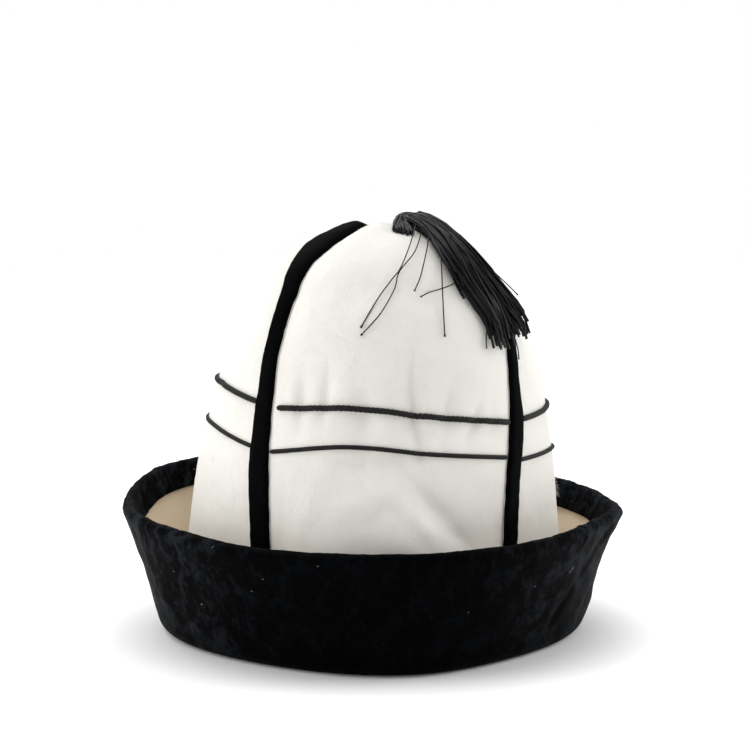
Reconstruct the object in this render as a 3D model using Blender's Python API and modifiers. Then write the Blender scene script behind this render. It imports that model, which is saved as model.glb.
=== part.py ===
"""A kalpak: a felt hat of four gores with velvet strips on its seams, two rows of cord round it,
a turned-up velvet brim and a tassel at its top.

Metres, +Z up. The hat stands on the plane Z = 0, and the origin is below the middle of its brim.
Azimuths are in degrees round the hat: 0 is the front, towards -Y, and they grow towards +X.
A way is how far a point lies along the crown's side, from 0 at the fold to 1 at the top.
"""

import bisect
import math

import bmesh
import bpy
from mathutils import Vector

# Felt crown
HEAD_GIRTH = 0.578  # inside the crown, at the fold
CROWN_HEIGHT = 0.1995  # from the surface to the highest felt
FELT = 0.0030
GORE_FLATTENING = 0.045  # how much nearer the axis a seam is than a gore's middle, at the fold
SEAM_VALLEY = 0.0038  # how deep the seams lie between the swelling gores, higher up
VALLEY_WAYS = (0.20, 0.70)  # the ways between which that valley deepens
SEAM_GAP = 0.0004  # between two gores
TOP_HOLE = 0.0015  # radius left open where the four gores meet

# Seam strips and cords
STRIP_WIDTH = 0.0108
STRIP_THICKNESS = 0.0016
STRIP_BOTTOM = 0.018  # the ways between which the strips run
STRIP_TOP = 0.955
UPPER_CORD = 0.0030
LOWER_CORD = 0.0023
CORD_FLATTENING = 0.60  # thickness of a cord as a share of its width
CORD_END_GAP = 0.0012  # from a cord's end to the strip beside it
CORD_SEAM_GAP = 0.0016  # from a cord's end to the seam, where no strip is beside it

# Brim
BRIM_HEIGHT = 0.0600
BRIM_FLARE = 0.0172  # how far the rim stands outside the fold
BRIM_FELT = 0.0026
VELVET = 0.0013
RIM_BAND = 0.0118  # velvet that shows inside the rim
REST_WIDTH = 0.0026  # flat underside of the fold
INNER_BEND = 0.0025  # bends of the fold, at the middle of the felt
OUTER_BEND = 0.0050
LEG = 0.0020  # straight felt above the inner bend, which the crown is sewn to

# Tassel
TASSEL_LENGTH = 0.0980
TASSEL_NECK = 0.0100  # width of the skirt where it leaves the head
TASSEL_WIDTH = 0.0340  # width of the skirt at its end
HEAD_LENGTH = 0.0190
HEAD_WIDTH = 0.0105
HEAD_HEIGHT = 0.0058
TASSEL_ROOT = 0.0095  # from the apex to the middle of the head
HEAD_LIFT = 0.0013  # the head rests on the ends of the strips
RISE = 0.0050  # over which the skirt rises onto the strip that it covers
LOCK_WIDTH = 0.0066
LOCK_HEIGHT = 0.0062

SEAT = 0.0005  # gap between a piece and what it lies on

# Numbers of facets, and how much closer together they lie where the form turns most
GORE_COLUMNS = 12
GORE_ROWS = 15
ROW_CROWDING = 1.35
BRIM_STATIONS = 40
STATION_CROWDING = 0.14
BEND_STEPS = 3
WALL_STEPS = 4
RIM_STEPS = 4
CORD_STEPS = 12
CORD_SIDES = 5
LOCK_STEPS = 10
LOCK_SIDES = 7

# Columns: height above the fold as a share of the crown's, radius as a share of the fold's, and how far
# the middle stands to the right as such a share.
CROWN_PROFILE = (
    (0.000, 1.000, 0.000),
    (0.100, 0.995, 0.002),
    (0.198, 0.980, 0.008),
    (0.395, 0.934, 0.022),
    (0.522, 0.889, 0.038),
    (0.616, 0.846, 0.050),
    (0.711, 0.802, 0.053),
    (0.780, 0.760, 0.048),
    (0.838, 0.689, 0.042),
    (0.880, 0.630, 0.038),
    (0.915, 0.556, 0.038),
    (0.950, 0.447, 0.048),
    (0.982, 0.315, 0.056),
    (1.000, 0.195, 0.064),
    (0.993, 0.086, 0.076),
    (0.984, 0.000, 0.086),
)

SEAM_NAMES = ("front_left", "front_right", "back_right", "back_left")

# Columns: way, azimuth of each seam there.
SEAM_RUNS = (
    (0.00, -29.5, 41.0, 138.0, 228.0),
    (0.25, -32.9, 42.6, 137.0, 229.0),
    (0.45, -38.0, 48.4, 136.0, 228.0),
    (0.54, -40.3, 52.0, 135.5, 227.5),
    (0.64, -38.5, 55.8, 135.0, 227.0),
    (0.80, -38.4, 57.5, 134.0, 226.0),
    (1.00, -37.4, 54.0, 134.0, 226.0),
)

# Columns: way, width of each seam's strip there as a share of the full width.
STRIP_WIDTHS = (
    (0.00, 0.90, 0.82, 0.86, 0.86),
    (0.30, 1.08, 0.86, 0.96, 0.96),
    (0.40, 0.95, 0.90, 0.98, 0.98),
    (0.50, 0.80, 0.56, 0.86, 0.84),
    (0.64, 0.74, 0.52, 0.78, 0.76),
    (0.75, 1.02, 0.76, 0.86, 0.88),
    (0.82, 1.30, 0.72, 0.82, 0.84),
    (0.90, 0.82, 0.66, 0.68, 0.70),
    (1.00, 0.10, 0.20, 0.20, 0.20),
)

# Columns: across the strip as a share of its width, height as a share of its thickness.
STRIP_SECTION = (
    (0.00, 0.00),
    (0.00, 0.55),
    (0.14, 1.00),
    (0.50, 1.00),
    (0.86, 1.00),
    (1.00, 0.55),
    (1.00, 0.00),
    (0.50, 0.00),
)

# Each gore lies between one seam and the next, going round towards +X.
GORES = ("front", "right", "back", "left")

# Columns: gore, place across it, way up it, half length, half width, turn in degrees, depth.
# Lengths are shares of the crown's height. A fold with no turn runs level.
FOLDS = (
    ("front", 0.54, 0.46, 0.140, 0.028, 90.0, -0.0070),
    ("front", 0.66, 0.25, 0.150, 0.050, -38.0, -0.0190),
    ("front", 0.55, 0.19, 0.130, 0.060, -38.0, 0.0160),
    ("front", 0.62, 0.58, 0.170, 0.120, 0.0, -0.0110),
    ("front", 0.26, 0.16, 0.110, 0.080, 60.0, 0.0060),
    ("right", 0.55, 0.34, 0.130, 0.055, 78.0, -0.0080),
    ("right", 0.40, 0.62, 0.120, 0.110, 20.0, -0.0070),
    ("right", 0.45, 0.74, 0.190, 0.220, 90.0, -0.0160),
    ("back", 0.46, 0.30, 0.160, 0.055, 25.0, -0.0130),
    ("back", 0.60, 0.55, 0.150, 0.045, 95.0, -0.0080),
    ("left", 0.38, 0.27, 0.140, 0.060, 70.0, -0.0080),
    ("left", 0.62, 0.60, 0.140, 0.110, 10.0, -0.0060),
)

# Columns: gore, cord, its height at the start, a third, two thirds and the end, as shares of the crown's.
CORDS = (
    ("front", "upper", 0.572, 0.578, 0.556, 0.533),
    ("front", "lower", 0.472, 0.492, 0.473, 0.453),
    ("right", "upper", 0.536, 0.548, 0.553, 0.556),
    ("right", "lower", 0.443, 0.447, 0.440, 0.450),
    ("back", "upper", 0.560, 0.582, 0.592, 0.586),
    ("back", "lower", 0.456, 0.478, 0.488, 0.484),
    ("left", "upper", 0.600, 0.614, 0.611, 0.582),
    ("left", "lower", 0.500, 0.518, 0.514, 0.480),
)

# Columns: azimuth, height and flare as shares of the brim's, and how far the foot stands out as a share
# of the fold's radius.
RIM = (
    (0.0, 0.947, 0.84, 0.026),
    (14.0, 0.950, 0.82, 0.034),
    (30.0, 0.960, 0.95, 0.022),
    (45.0, 0.980, 0.98, 0.010),
    (62.0, 1.015, 1.05, 0.004),
    (76.0, 1.020, 1.14, 0.000),
    (90.0, 0.985, 1.10, 0.000),
    (108.0, 1.012, 1.04, 0.000),
    (140.0, 1.070, 1.00, 0.000),
    (180.0, 1.130, 0.92, 0.010),
    (220.0, 1.200, 1.00, 0.000),
    (250.0, 1.190, 1.03, 0.000),
    (270.0, 1.085, 1.00, 0.000),
    (284.0, 1.050, 1.04, 0.000),
    (300.0, 1.030, 1.05, 0.000),
    (315.0, 0.997, 0.98, 0.002),
    (335.0, 0.955, 0.96, 0.014),
    (360.0, 0.947, 0.84, 0.026),
)
RIM_FLATTENING = 0.030  # how much nearer the axis the rim is at the seams than between them

# Columns: azimuth, half width in degrees, share of the wall's height, half height as such a share, depth
# as a share of the brim's height.
BRIM_DENTS = (
    (66.0, 8.0, 0.60, 0.40, -0.045),
    (79.0, 7.0, 0.62, 0.35, -0.050),
    (96.0, 9.0, 0.62, 0.35, -0.055),
    (286.0, 8.0, 0.55, 0.40, -0.030),
    (300.0, 8.0, 0.40, 0.40, 0.030),
    (20.0, 16.0, 0.45, 0.40, 0.020),
    (160.0, 12.0, 0.55, 0.40, -0.035),
    (205.0, 14.0, 0.50, 0.40, 0.030),
)

# Columns: share of the tassel's length, azimuth.
TASSEL_LAY = (
    (0.0, 78.0),
    (0.25, 56.0),
    (0.50, 46.5),
    (0.75, 46.5),
    (1.0, 52.0),
)

# Columns: place across the skirt from -1 to 1, then width, height and length of the lock as shares.
LOCKS = (
    (-1.00, 1.00, 0.76, 0.93),
    (-0.76, 1.04, 1.03, 1.00),
    (-0.50, 0.95, 0.90, 0.95),
    (-0.24, 1.06, 1.16, 1.02),
    (0.02, 0.96, 0.98, 0.98),
    (0.28, 1.05, 1.19, 1.03),
    (0.52, 0.94, 0.93, 0.96),
    (0.77, 1.03, 1.06, 1.01),
    (1.00, 0.99, 0.79, 0.95),
)

BASE_RADIUS = HEAD_GIRTH / (2 * math.pi) + FELT
WRAP = BRIM_FELT / 2 + SEAT + VELVET  # from the middle of the brim's felt to the face of its velvet
FOLD_TOP = WRAP + INNER_BEND + LEG
GORE_BOTTOM = FOLD_TOP + SEAT

WAY_STEP = 0.004  # over which the crown's slope is measured
EDGE_SHARE = 1 / 6  # of a gore's width, over which folds run out towards its seams

FELT_WHITE = ("felt_white", (0.83, 0.82, 0.78), 0.95)
FELT_CREAM = ("felt_cream", (0.66, 0.55, 0.40), 0.95)
VELVET_BLACK = ("velvet_black", (0.008, 0.009, 0.011), 0.80)
CORD_BLACK = ("cord_black", (0.025, 0.024, 0.023), 0.70)
SILK_BLACK = ("silk_black", (0.012, 0.012, 0.013), 0.45)


def row_at(rows, x):
    """The other columns of a table at x in its first, smoothly between its rows."""
    places = [row[0] for row in rows]
    i = min(max(bisect.bisect_right(places, x) - 1, 0), len(rows) - 2)
    before, low, high, after = (rows[max(i - 1, 0)], rows[i], rows[i + 1], rows[min(i + 2, len(rows) - 1)])
    span = high[0] - low[0]
    s = (x - low[0]) / span
    found = []
    for a, b, c, d in zip(before[1:], low[1:], high[1:], after[1:]):
        leaving = (c - a) / (high[0] - before[0]) * span
        arriving = (d - b) / (after[0] - low[0]) * span
        found.append(
            (2 * s**3 - 3 * s**2 + 1) * b
            + (s**3 - 2 * s**2 + s) * leaving
            + (3 * s**2 - 2 * s**3) * c
            + (s**3 - s**2) * arriving
        )
    return found


def eased(x):
    """0 below 0, 1 above 1, and smooth between."""
    x = min(max(x, 0.0), 1.0)
    return x * x * (3 - 2 * x)


def meridian_rows():
    """The crown's profile in metres, with the way of each of its points in front."""
    span = CROWN_HEIGHT - GORE_BOTTOM
    points = [
        (radius * BASE_RADIUS, GORE_BOTTOM + height * span, lean * BASE_RADIUS)
        for height, radius, lean in CROWN_PROFILE
    ]
    lengths = [0.0]
    for low, high in zip(points, points[1:]):
        lengths.append(lengths[-1] + math.dist(low[:2], high[:2]))
    return [(length / lengths[-1], *point) for length, point in zip(lengths, points)], lengths[-1]


MERIDIAN, SIDE_LENGTH = meridian_rows()


def meridian(way):
    """Radius, height and lean of the crown's side, and the outward normal there as (out, up)."""
    radius, height, lean = row_at(MERIDIAN, way)
    r0, z0, _ = row_at(MERIDIAN, max(way - WAY_STEP, 0.0))
    r1, z1, _ = row_at(MERIDIAN, min(way + WAY_STEP, 1.0))
    length = math.hypot(r1 - r0, z1 - z0)
    return radius, height, lean, (z1 - z0) / length, (r0 - r1) / length


def seam_azimuth(seam, way):
    turns, i = divmod(seam, len(SEAM_NAMES))
    return row_at(SEAM_RUNS, min(max(way, 0.0), 1.0))[i] + 360.0 * turns


def gore_at(azimuth, way):
    """The gore at an azimuth, and how far across it that lies, from 0 to 1."""
    turned = (azimuth - seam_azimuth(0, way)) % 360.0 + seam_azimuth(0, way)
    for gore in range(len(GORES)):
        low, high = seam_azimuth(gore, way), seam_azimuth(gore + 1, way)
        if turned < high:
            return gore, (turned - low) / (high - low)
    return 0, 0.0


def fold_depth(gore, across, way):
    """How far the felt's folds lift it, or sink it where negative."""
    width = math.radians(seam_azimuth(gore + 1, way) - seam_azimuth(gore, way)) * BASE_RADIUS
    depth = 0.0
    for name, middle, up, half_length, half_width, turn, lift in FOLDS:
        if name != GORES[gore]:
            continue
        x, y = (across - middle) * width, (way - up) * SIDE_LENGTH
        a = math.radians(turn)
        along = (x * math.cos(a) + y * math.sin(a)) / (half_length * CROWN_HEIGHT)
        beside = (y * math.cos(a) - x * math.sin(a)) / (half_width * CROWN_HEIGHT)
        edge = eased(across / EDGE_SHARE) * eased((1 - across) / EDGE_SHARE)
        depth += lift * CROWN_HEIGHT * edge * math.exp(-along * along - beside * beside)
    return depth


def plan_share(across, flattening):
    """A radius as a share of the one in the middle of a gore."""
    return 1 - flattening * (1 + math.cos(2 * math.pi * across)) / 2


def on_gore(gore, across, way, lift=0.0):
    """A point on the crown's outer face, or lift above it."""
    radius, height, lean, out, up = meridian(way)
    azimuth = seam_azimuth(gore, way) * (1 - across) + seam_azimuth(gore + 1, way) * across
    radius *= plan_share(across, GORE_FLATTENING * (1 - eased(way * 2)))
    start, end = VALLEY_WAYS
    valley = SEAM_VALLEY * eased((way - start) / (end - start)) * abs(2 * across - 1) ** 4
    valley *= min(1.0, radius / (0.2 * BASE_RADIUS))
    depth = lift + fold_depth(gore, across, way) - valley
    reach = radius + depth * out
    return around(azimuth, reach, height + depth * up) + Vector((lean, 0.0, 0.0)) - MIDDLE


def on_crown(azimuth, way, lift=0.0):
    return on_gore(*gore_at(azimuth, way), way, lift)


def brim_section(azimuth, face, velvet=False):
    """The brim's section as points (radius, height), on the face that lies face outside the middle of the
    felt. It runs from inside the head opening under the fold and up to the rim, and for the velvet on
    over the rim and down inside it."""
    height_share, flare_share, foot_share = row_at(RIM, azimuth % 360.0)
    across = gore_at(azimuth, 0.0)[1]
    fold_share = plan_share(across, GORE_FLATTENING)
    rim_share = plan_share(across, RIM_FLATTENING) / fold_share
    inner = BASE_RADIUS * fold_share - FELT / 2
    corner = inner + INNER_BEND + REST_WIDTH + foot_share * BASE_RADIUS
    top = BRIM_HEIGHT * height_share - WRAP
    rim = (corner + OUTER_BEND + BRIM_FLARE * flare_share) * rim_share
    low = WRAP + OUTER_BEND
    lean = math.atan2(rim - corner - OUTER_BEND, top - low)
    foot = (corner + OUTER_BEND * math.cos(lean), low - OUTER_BEND * math.sin(lean))
    points = [(inner - face, FOLD_TOP)]
    for step in range(BEND_STEPS):
        a = math.radians(180 + 90 * step / (BEND_STEPS - 1))
        reach = INNER_BEND + face
        points.append((inner + INNER_BEND + reach * math.cos(a), WRAP + INNER_BEND + reach * math.sin(a)))
    for step in range(BEND_STEPS + 1):
        a = -math.pi / 2 + (math.pi / 2 - lean) * step / BEND_STEPS
        reach = OUTER_BEND + face
        points.append((corner + reach * math.cos(a), low + reach * math.sin(a)))
    wall = Vector((rim - foot[0], top - foot[1]))
    out = Vector((math.cos(lean), -math.sin(lean)))
    for step in range(1, WALL_STEPS + 1):
        share = step / WALL_STEPS
        dent = brim_dent(azimuth, share)
        points.append(tuple(Vector(foot) + wall * share + out * (face + dent)))
    if velvet:
        end = Vector((rim, top)) + out * brim_dent(azimuth, 1.0)
        for step in range(1, RIM_STEPS + 1):
            a = -lean + math.pi * step / RIM_STEPS
            points.append(tuple(end + face * Vector((math.cos(a), math.sin(a)))))
        down = -wall.normalized()
        for share in (0.5, 1.0):
            dent = wall_dent(azimuth, 1 - share * RIM_BAND / wall.length) - brim_dent(azimuth, 1.0)
            points.append(tuple(end - face * out + down * (share * RIM_BAND) + out * dent))
    return points


def brim_dent(azimuth, share):
    """How far a dent or swelling moves the brim's wall outwards at that share of its height."""
    depth = 0.0
    for middle, half_width, up, half_height, lift in BRIM_DENTS:
        round_by = ((azimuth - middle + 180.0) % 360.0 - 180.0) / half_width
        up_by = (share - up) / half_height
        depth += lift * BRIM_HEIGHT * math.exp(-round_by * round_by - up_by * up_by)
    return depth * eased(share * 3)


def wall_dent(azimuth, share):
    """The same between the wall's steps, where its facets run straight."""
    step = min(int(share * WALL_STEPS), WALL_STEPS - 1)
    low, high = (brim_dent(azimuth, place / WALL_STEPS) for place in (step, step + 1))
    return low + (high - low) * (share * WALL_STEPS - step)


def around(azimuth, radius, height):
    """The point at that radius and height round the middle of the fold."""
    a = math.radians(azimuth)
    return Vector((radius * math.sin(a), -radius * math.cos(a), height))


def brim_middle():
    """The middle of the brim's outline, so that the origin lies below it."""
    edge = [around(azimuth, *point) for azimuth in range(360) for point in brim_section(azimuth, WRAP, True)]
    xs, ys = [p.x for p in edge], [p.y for p in edge]
    return Vector(((min(xs) + max(xs)) / 2, (min(ys) + max(ys)) / 2, 0.0))


MIDDLE = brim_middle()


def clear_scene():
    for obj in list(bpy.data.objects):
        bpy.data.objects.remove(obj)


def material(look):
    name, colour, roughness = look
    made = bpy.data.materials.get(name) or bpy.data.materials.new(name)
    made.use_nodes = True
    shader = made.node_tree.nodes["Principled BSDF"]
    shader.inputs["Base Color"].default_value = (*colour, 1.0)
    shader.inputs["Roughness"].default_value = roughness
    shader.inputs["Metallic"].default_value = 0.0
    return made


def add_object(name, data, collection, look=None):
    obj = bpy.data.objects.new(name, data)
    collection.objects.link(obj)
    if look:
        obj.data.materials.append(material(look))
    return obj


def sheet(name, columns, rows, place, thickness, look, collection, ring=False):
    """A grid of columns by rows faces, each corner moved to place(column, row), thickened inwards."""
    bm = bmesh.new()
    bmesh.ops.create_grid(bm, x_segments=columns, y_segments=rows, size=1.0)
    for vertex in bm.verts:
        column = round((vertex.co.x + 1) / 2 * columns)
        row = round((vertex.co.y + 1) / 2 * rows)
        vertex.co = place(column, row)
    if ring:
        bmesh.ops.remove_doubles(bm, verts=bm.verts, dist=1e-6)
    mesh = bpy.data.meshes.new(name)
    bm.to_mesh(mesh)
    bm.free()
    mesh.shade_smooth()
    obj = add_object(name, mesh, collection, look)
    solid = obj.modifiers.new("Thickness", "SOLIDIFY")
    solid.thickness = thickness
    solid.offset = -1.0
    solid.use_even_offset = True
    return obj


def gore_way(row):
    """The way of a row of facets."""
    last = 1 - TOP_HOLE / BASE_RADIUS
    return last * (1 - (1 - row / GORE_ROWS) ** ROW_CROWDING)


def add_gore(gore, collection):
    def place(column, row):
        way = gore_way(row)
        width = math.radians(seam_azimuth(gore + 1, way) - seam_azimuth(gore, way)) * meridian(way)[0]
        margin = min(SEAM_GAP / 2 / width, 0.2)
        return on_gore(gore, margin + (1 - 2 * margin) * column / GORE_COLUMNS, way)

    return sheet(f"crown_gore_{GORES[gore]}", GORE_COLUMNS, GORE_ROWS, place, FELT, FELT_WHITE, collection)


def bar(name, rings, look, collection):
    """A closed bar with a ring of points at each of its sections."""
    bm = bmesh.new()
    rings = [[bm.verts.new(point) for point in ring] for ring in rings]
    for low, high in zip(rings, rings[1:]):
        for i in range(len(low)):
            bm.faces.new((low[i - 1], low[i], high[i], high[i - 1]))
    bm.faces.new(rings[0])
    bm.faces.new(rings[-1])
    bmesh.ops.recalc_face_normals(bm, faces=bm.faces)
    mesh = bpy.data.meshes.new(name)
    bm.to_mesh(mesh)
    bm.free()
    mesh.shade_smooth()
    return add_object(name, mesh, collection, look)


def oval(sides, width, height):
    """Points (across, up) round an oval that stands on 0."""
    turns = [2 * math.pi * side / sides for side in range(sides)]
    return [(math.sin(a) * width / 2, (1 - math.cos(a)) * height / 2) for a in turns]


def strip_side(seam):
    """1 where a seam's strip lies on the gore after the seam, and -1 where it lies on the one before it."""
    return 1 if GORES[seam % len(GORES)] in ("right", "left") else -1


def strip_width(seam, way):
    return STRIP_WIDTH * row_at(STRIP_WIDTHS, way)[seam % len(SEAM_NAMES)]


def add_strip(seam, collection):
    rings = []
    for row in range(GORE_ROWS):
        way = min(max(gore_way(row), STRIP_BOTTOM), STRIP_TOP)
        width = strip_width(seam, way)
        ring = []
        for across, height in STRIP_SECTION:
            reach = strip_side(seam) * (SEAM_GAP / 2 + width * across)
            azimuth = seam_azimuth(seam, way) + math.degrees(reach / meridian(way)[0])
            ring.append(on_crown(azimuth, way, SEAT + STRIP_THICKNESS * height))
        rings.append(ring)
    return bar(f"seam_strip_{SEAM_NAMES[seam]}", rings, VELVET_BLACK, collection)


def way_at_height(height):
    """The way at which the crown's side has that height, below its crest."""
    low, high = 0.0, 0.8
    for _ in range(40):
        middle = (low + high) / 2
        low, high = (middle, high) if meridian(middle)[1] < height else (low, middle)
    return low


def cord_clearance(gore_name, seam, way):
    """How far a cord's end stays from a seam beside its gore."""
    if gore_name in ("right", "left"):
        return strip_width(seam, way) + CORD_END_GAP
    return CORD_SEAM_GAP


def add_cord(gore_name, row, heights, collection):
    """One length of cord across a gore, between the strips or seams at its sides."""
    gore = GORES.index(gore_name)
    size = UPPER_CORD if row == "upper" else LOWER_CORD
    ways = [(i / 3, way_at_height(CROWN_HEIGHT * height)) for i, height in enumerate(heights)]
    rings = []
    for step in range(CORD_STEPS + 1):
        share = step / CORD_STEPS
        way = row_at(ways, share)[0]
        width = math.radians(seam_azimuth(gore + 1, way) - seam_azimuth(gore, way)) * meridian(way)[0]
        before, after = (cord_clearance(gore_name, seam, way) for seam in (gore, gore + 1))
        across = (before + (width - before - after) * share) / width
        end = 0.6 if step in (0, CORD_STEPS) else 1.0
        section = oval(CORD_SIDES, size * end, size * CORD_FLATTENING * end)
        rings.append([on_gore(gore, across, way + y / SIDE_LENGTH, SEAT + z) for y, z in section])
    return bar(f"cord_{row}_{gore_name}", rings, CORD_BLACK, collection)


def brim_azimuth(station):
    a = 2 * math.pi * station / BRIM_STATIONS
    return math.degrees(a + STATION_CROWDING * math.sin(2 * a))


def add_brim(name, face, thickness, velvet, look, collection):
    sections = [brim_section(brim_azimuth(station), face, velvet) for station in range(BRIM_STATIONS)]

    def place(station, row):
        return around(brim_azimuth(station), *sections[station % BRIM_STATIONS][row]) - MIDDLE

    rows = len(sections[0]) - 1
    return sheet(name, BRIM_STATIONS, rows, place, thickness, look, collection, ring=True)


def tassel_point(share, offset, lift):
    """A point over the crown, that share of the tassel's length from its top and offset beside its middle."""
    way = 1 - share * TASSEL_LENGTH / SIDE_LENGTH
    radius = max(meridian(way)[0], HEAD_LENGTH / 2)
    azimuth = row_at(TASSEL_LAY, min(share, 1.0))[0] + math.degrees(offset / radius)
    past_seam = math.radians(azimuth - seam_azimuth(1, way)) * radius
    over_strip = (STRIP_THICKNESS + SEAT) * eased(1 + past_seam / RISE)
    return on_crown(azimuth, way, SEAT + over_strip + lift)


def add_tassel(collection, tools):
    """The head and the skirt's locks, fused."""
    bm = bmesh.new()
    bmesh.ops.create_uvsphere(bm, u_segments=12, v_segments=8, radius=1.0)
    for vertex in bm.verts:
        x, y, z = vertex.co / 2
        vertex.co = (x * HEAD_LENGTH, y * HEAD_WIDTH, z * HEAD_HEIGHT)
    mesh = bpy.data.meshes.new("tassel")
    bm.to_mesh(mesh)
    bm.free()
    mesh.shade_smooth()
    tassel = add_object("tassel", mesh, collection, SILK_BLACK)
    turn = math.radians(TASSEL_LAY[0][1])
    middle = on_crown(TASSEL_LAY[0][1], 1 - TASSEL_ROOT / SIDE_LENGTH)
    spots = [(azimuth, reach) for azimuth in range(0, 360, 30) for reach in (0.3, 0.8, 1.2, 1.6)]
    under = max(on_crown(azimuth, 1 - TASSEL_ROOT * reach / SIDE_LENGTH).z for azimuth, reach in spots)
    tassel.location = (middle.x, middle.y, under + SEAT + HEAD_LIFT + HEAD_HEIGHT / 2)
    tassel.rotation_euler = (0.0, 0.0, turn - math.pi / 2)

    start = (TASSEL_ROOT + 0.2 * HEAD_LENGTH) / TASSEL_LENGTH
    for number, (across, width, height, length) in enumerate(LOCKS):
        rings = []
        for step in range(LOCK_STEPS + 1):
            share = step / LOCK_STEPS
            down = start + (length - start) * share
            spread = TASSEL_NECK + (TASSEL_WIDTH - TASSEL_NECK) * eased(down)
            middle = across * (spread - LOCK_WIDTH) / 2
            size = min(1.0, 0.75 + share) * (1 - 0.25 * eased(share * 4 - 3))
            section = oval(LOCK_SIDES, LOCK_WIDTH * width * size, LOCK_HEIGHT * height * size)
            rings.append([tassel_point(down, middle + x, z) for x, z in section])
        lock = bar(f"lock_{number}", rings, SILK_BLACK, tools)
        lock.hide_render = True
        lock.display_type = "WIRE"
    join = tassel.modifiers.new("Locks", "BOOLEAN")
    join.solver = "EXACT"
    join.operation = "UNION"
    join.operand_type = "COLLECTION"
    join.collection = tools


def main():
    clear_scene()
    hat = bpy.data.collections.new("Kalpak")
    tools = bpy.data.collections.new("Tassel locks")
    for collection in (hat, tools):
        bpy.context.scene.collection.children.link(collection)
    for gore in range(len(GORES)):
        add_gore(gore, hat)
    for seam in range(len(SEAM_NAMES)):
        add_strip(seam, hat)
    for gore_name, row, *heights in CORDS:
        add_cord(gore_name, row, heights, hat)
    add_brim("brim_felt", BRIM_FELT / 2, BRIM_FELT, False, FELT_CREAM, hat)
    add_brim("brim_velvet", WRAP, VELVET, True, VELVET_BLACK, hat)
    add_tassel(hat, tools)


main()
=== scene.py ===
# %% [markdown]
# # A kalpak of white felt
# A kalpak is a tall felt hat. This one is sewn from four gores of thick white wool felt, with strips of
# black velvet on its seams, two rows of cord round it, a turned-up velvet brim and a tassel at its top.
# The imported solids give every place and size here. Each of them is soft cloth or thread, so each one is
# replaced by a finer piece that keeps its form.

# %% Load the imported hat
import bisect
import functools
import math
import random

import bpy
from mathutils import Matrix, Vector, noise
from mathutils.bvhtree import BVHTree


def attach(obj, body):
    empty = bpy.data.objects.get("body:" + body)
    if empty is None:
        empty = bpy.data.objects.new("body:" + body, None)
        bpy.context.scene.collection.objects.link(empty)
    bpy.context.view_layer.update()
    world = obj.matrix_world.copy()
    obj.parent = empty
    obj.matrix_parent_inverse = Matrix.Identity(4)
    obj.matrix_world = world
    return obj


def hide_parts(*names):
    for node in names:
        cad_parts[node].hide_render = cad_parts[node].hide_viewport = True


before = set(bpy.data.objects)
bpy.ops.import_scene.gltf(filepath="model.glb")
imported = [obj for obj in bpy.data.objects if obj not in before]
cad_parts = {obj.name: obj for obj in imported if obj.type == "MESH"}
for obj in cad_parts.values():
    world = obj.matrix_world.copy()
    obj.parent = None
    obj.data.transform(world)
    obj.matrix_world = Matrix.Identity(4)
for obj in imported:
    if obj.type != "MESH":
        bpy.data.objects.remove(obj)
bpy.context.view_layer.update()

# %% [markdown]
# ## The camera
# The hat was photographed from straight in front, a little above the middle of its crown. The camera
# looks level, so that upright lines stay upright, and its lens is shifted down to take in the brim, as
# a product photographer does with a shift lens.

# %% Camera
IMAGE_WIDTH = 746
IMAGE_HEIGHT = 753
SENSOR = 36.0
FOCAL_PIXELS = 1587.0  # the lens in pixels of the photograph
HORIZON_ROW = 240.0  # row of the photograph that is level with the camera
EYE = Vector((0.0, -0.800, 0.1915))

camera = bpy.data.objects.new("Camera", bpy.data.cameras.new("Camera"))
bpy.context.scene.collection.objects.link(camera)
camera.location = EYE
camera.rotation_euler = (math.pi / 2, 0.0, 0.0)
camera.data.sensor_width = SENSOR
camera.data.lens = SENSOR * FOCAL_PIXELS / IMAGE_HEIGHT
camera.data.shift_y = -(IMAGE_HEIGHT / 2 - HORIZON_ROW) / IMAGE_HEIGHT
camera.data.clip_start = 0.01
camera.data.clip_end = 50.0
bpy.context.scene.camera = camera


def sight(column, row):
    """The direction from the camera through a pixel of the photograph."""
    return Vector(((column - IMAGE_WIDTH / 2) / FOCAL_PIXELS, 1.0, (HORIZON_ROW - row) / FOCAL_PIXELS))


print("lens", round(camera.data.lens, 1), "mm, shift", round(camera.data.shift_y, 4))

# %% [markdown]
# ## Sizes
# These are the sizes and tables that the solids are made from. They are repeated here from the part,
# and every finer piece below is laid on the same surfaces.

# %% Sizes of the crown, strips and cords
HEAD_GIRTH = 0.578
CROWN_HEIGHT = 0.1995
FELT = 0.0030
GORE_FLATTENING = 0.045
SEAM_VALLEY = 0.0038
VALLEY_WAYS = (0.20, 0.70)
SEAM_GAP = 0.0004
STRIP_WIDTH = 0.0108
STRIP_THICKNESS = 0.0016
STRIP_BOTTOM = 0.018
STRIP_TOP = 0.955
UPPER_CORD = 0.0030
LOWER_CORD = 0.0023
SEAT = 0.0005

# %% Sizes of the brim and tassel
BRIM_HEIGHT = 0.0600
BRIM_FLARE = 0.0172
BRIM_FELT = 0.0026
VELVET = 0.0013
RIM_BAND = 0.0118
RIM_FLATTENING = 0.030
REST_WIDTH = 0.0026
INNER_BEND = 0.0025
OUTER_BEND = 0.0050
LEG = 0.0020
TASSEL_LENGTH = 0.0980
TASSEL_NECK = 0.0100
TASSEL_WIDTH = 0.0340
HEAD_LENGTH = 0.0190
HEAD_WIDTH = 0.0105
HEAD_HEIGHT = 0.0058
TASSEL_ROOT = 0.0095
HEAD_LIFT = 0.0013
RISE = 0.0050
LOCK_WIDTH = 0.0066
LOCK_HEIGHT = 0.0062

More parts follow.
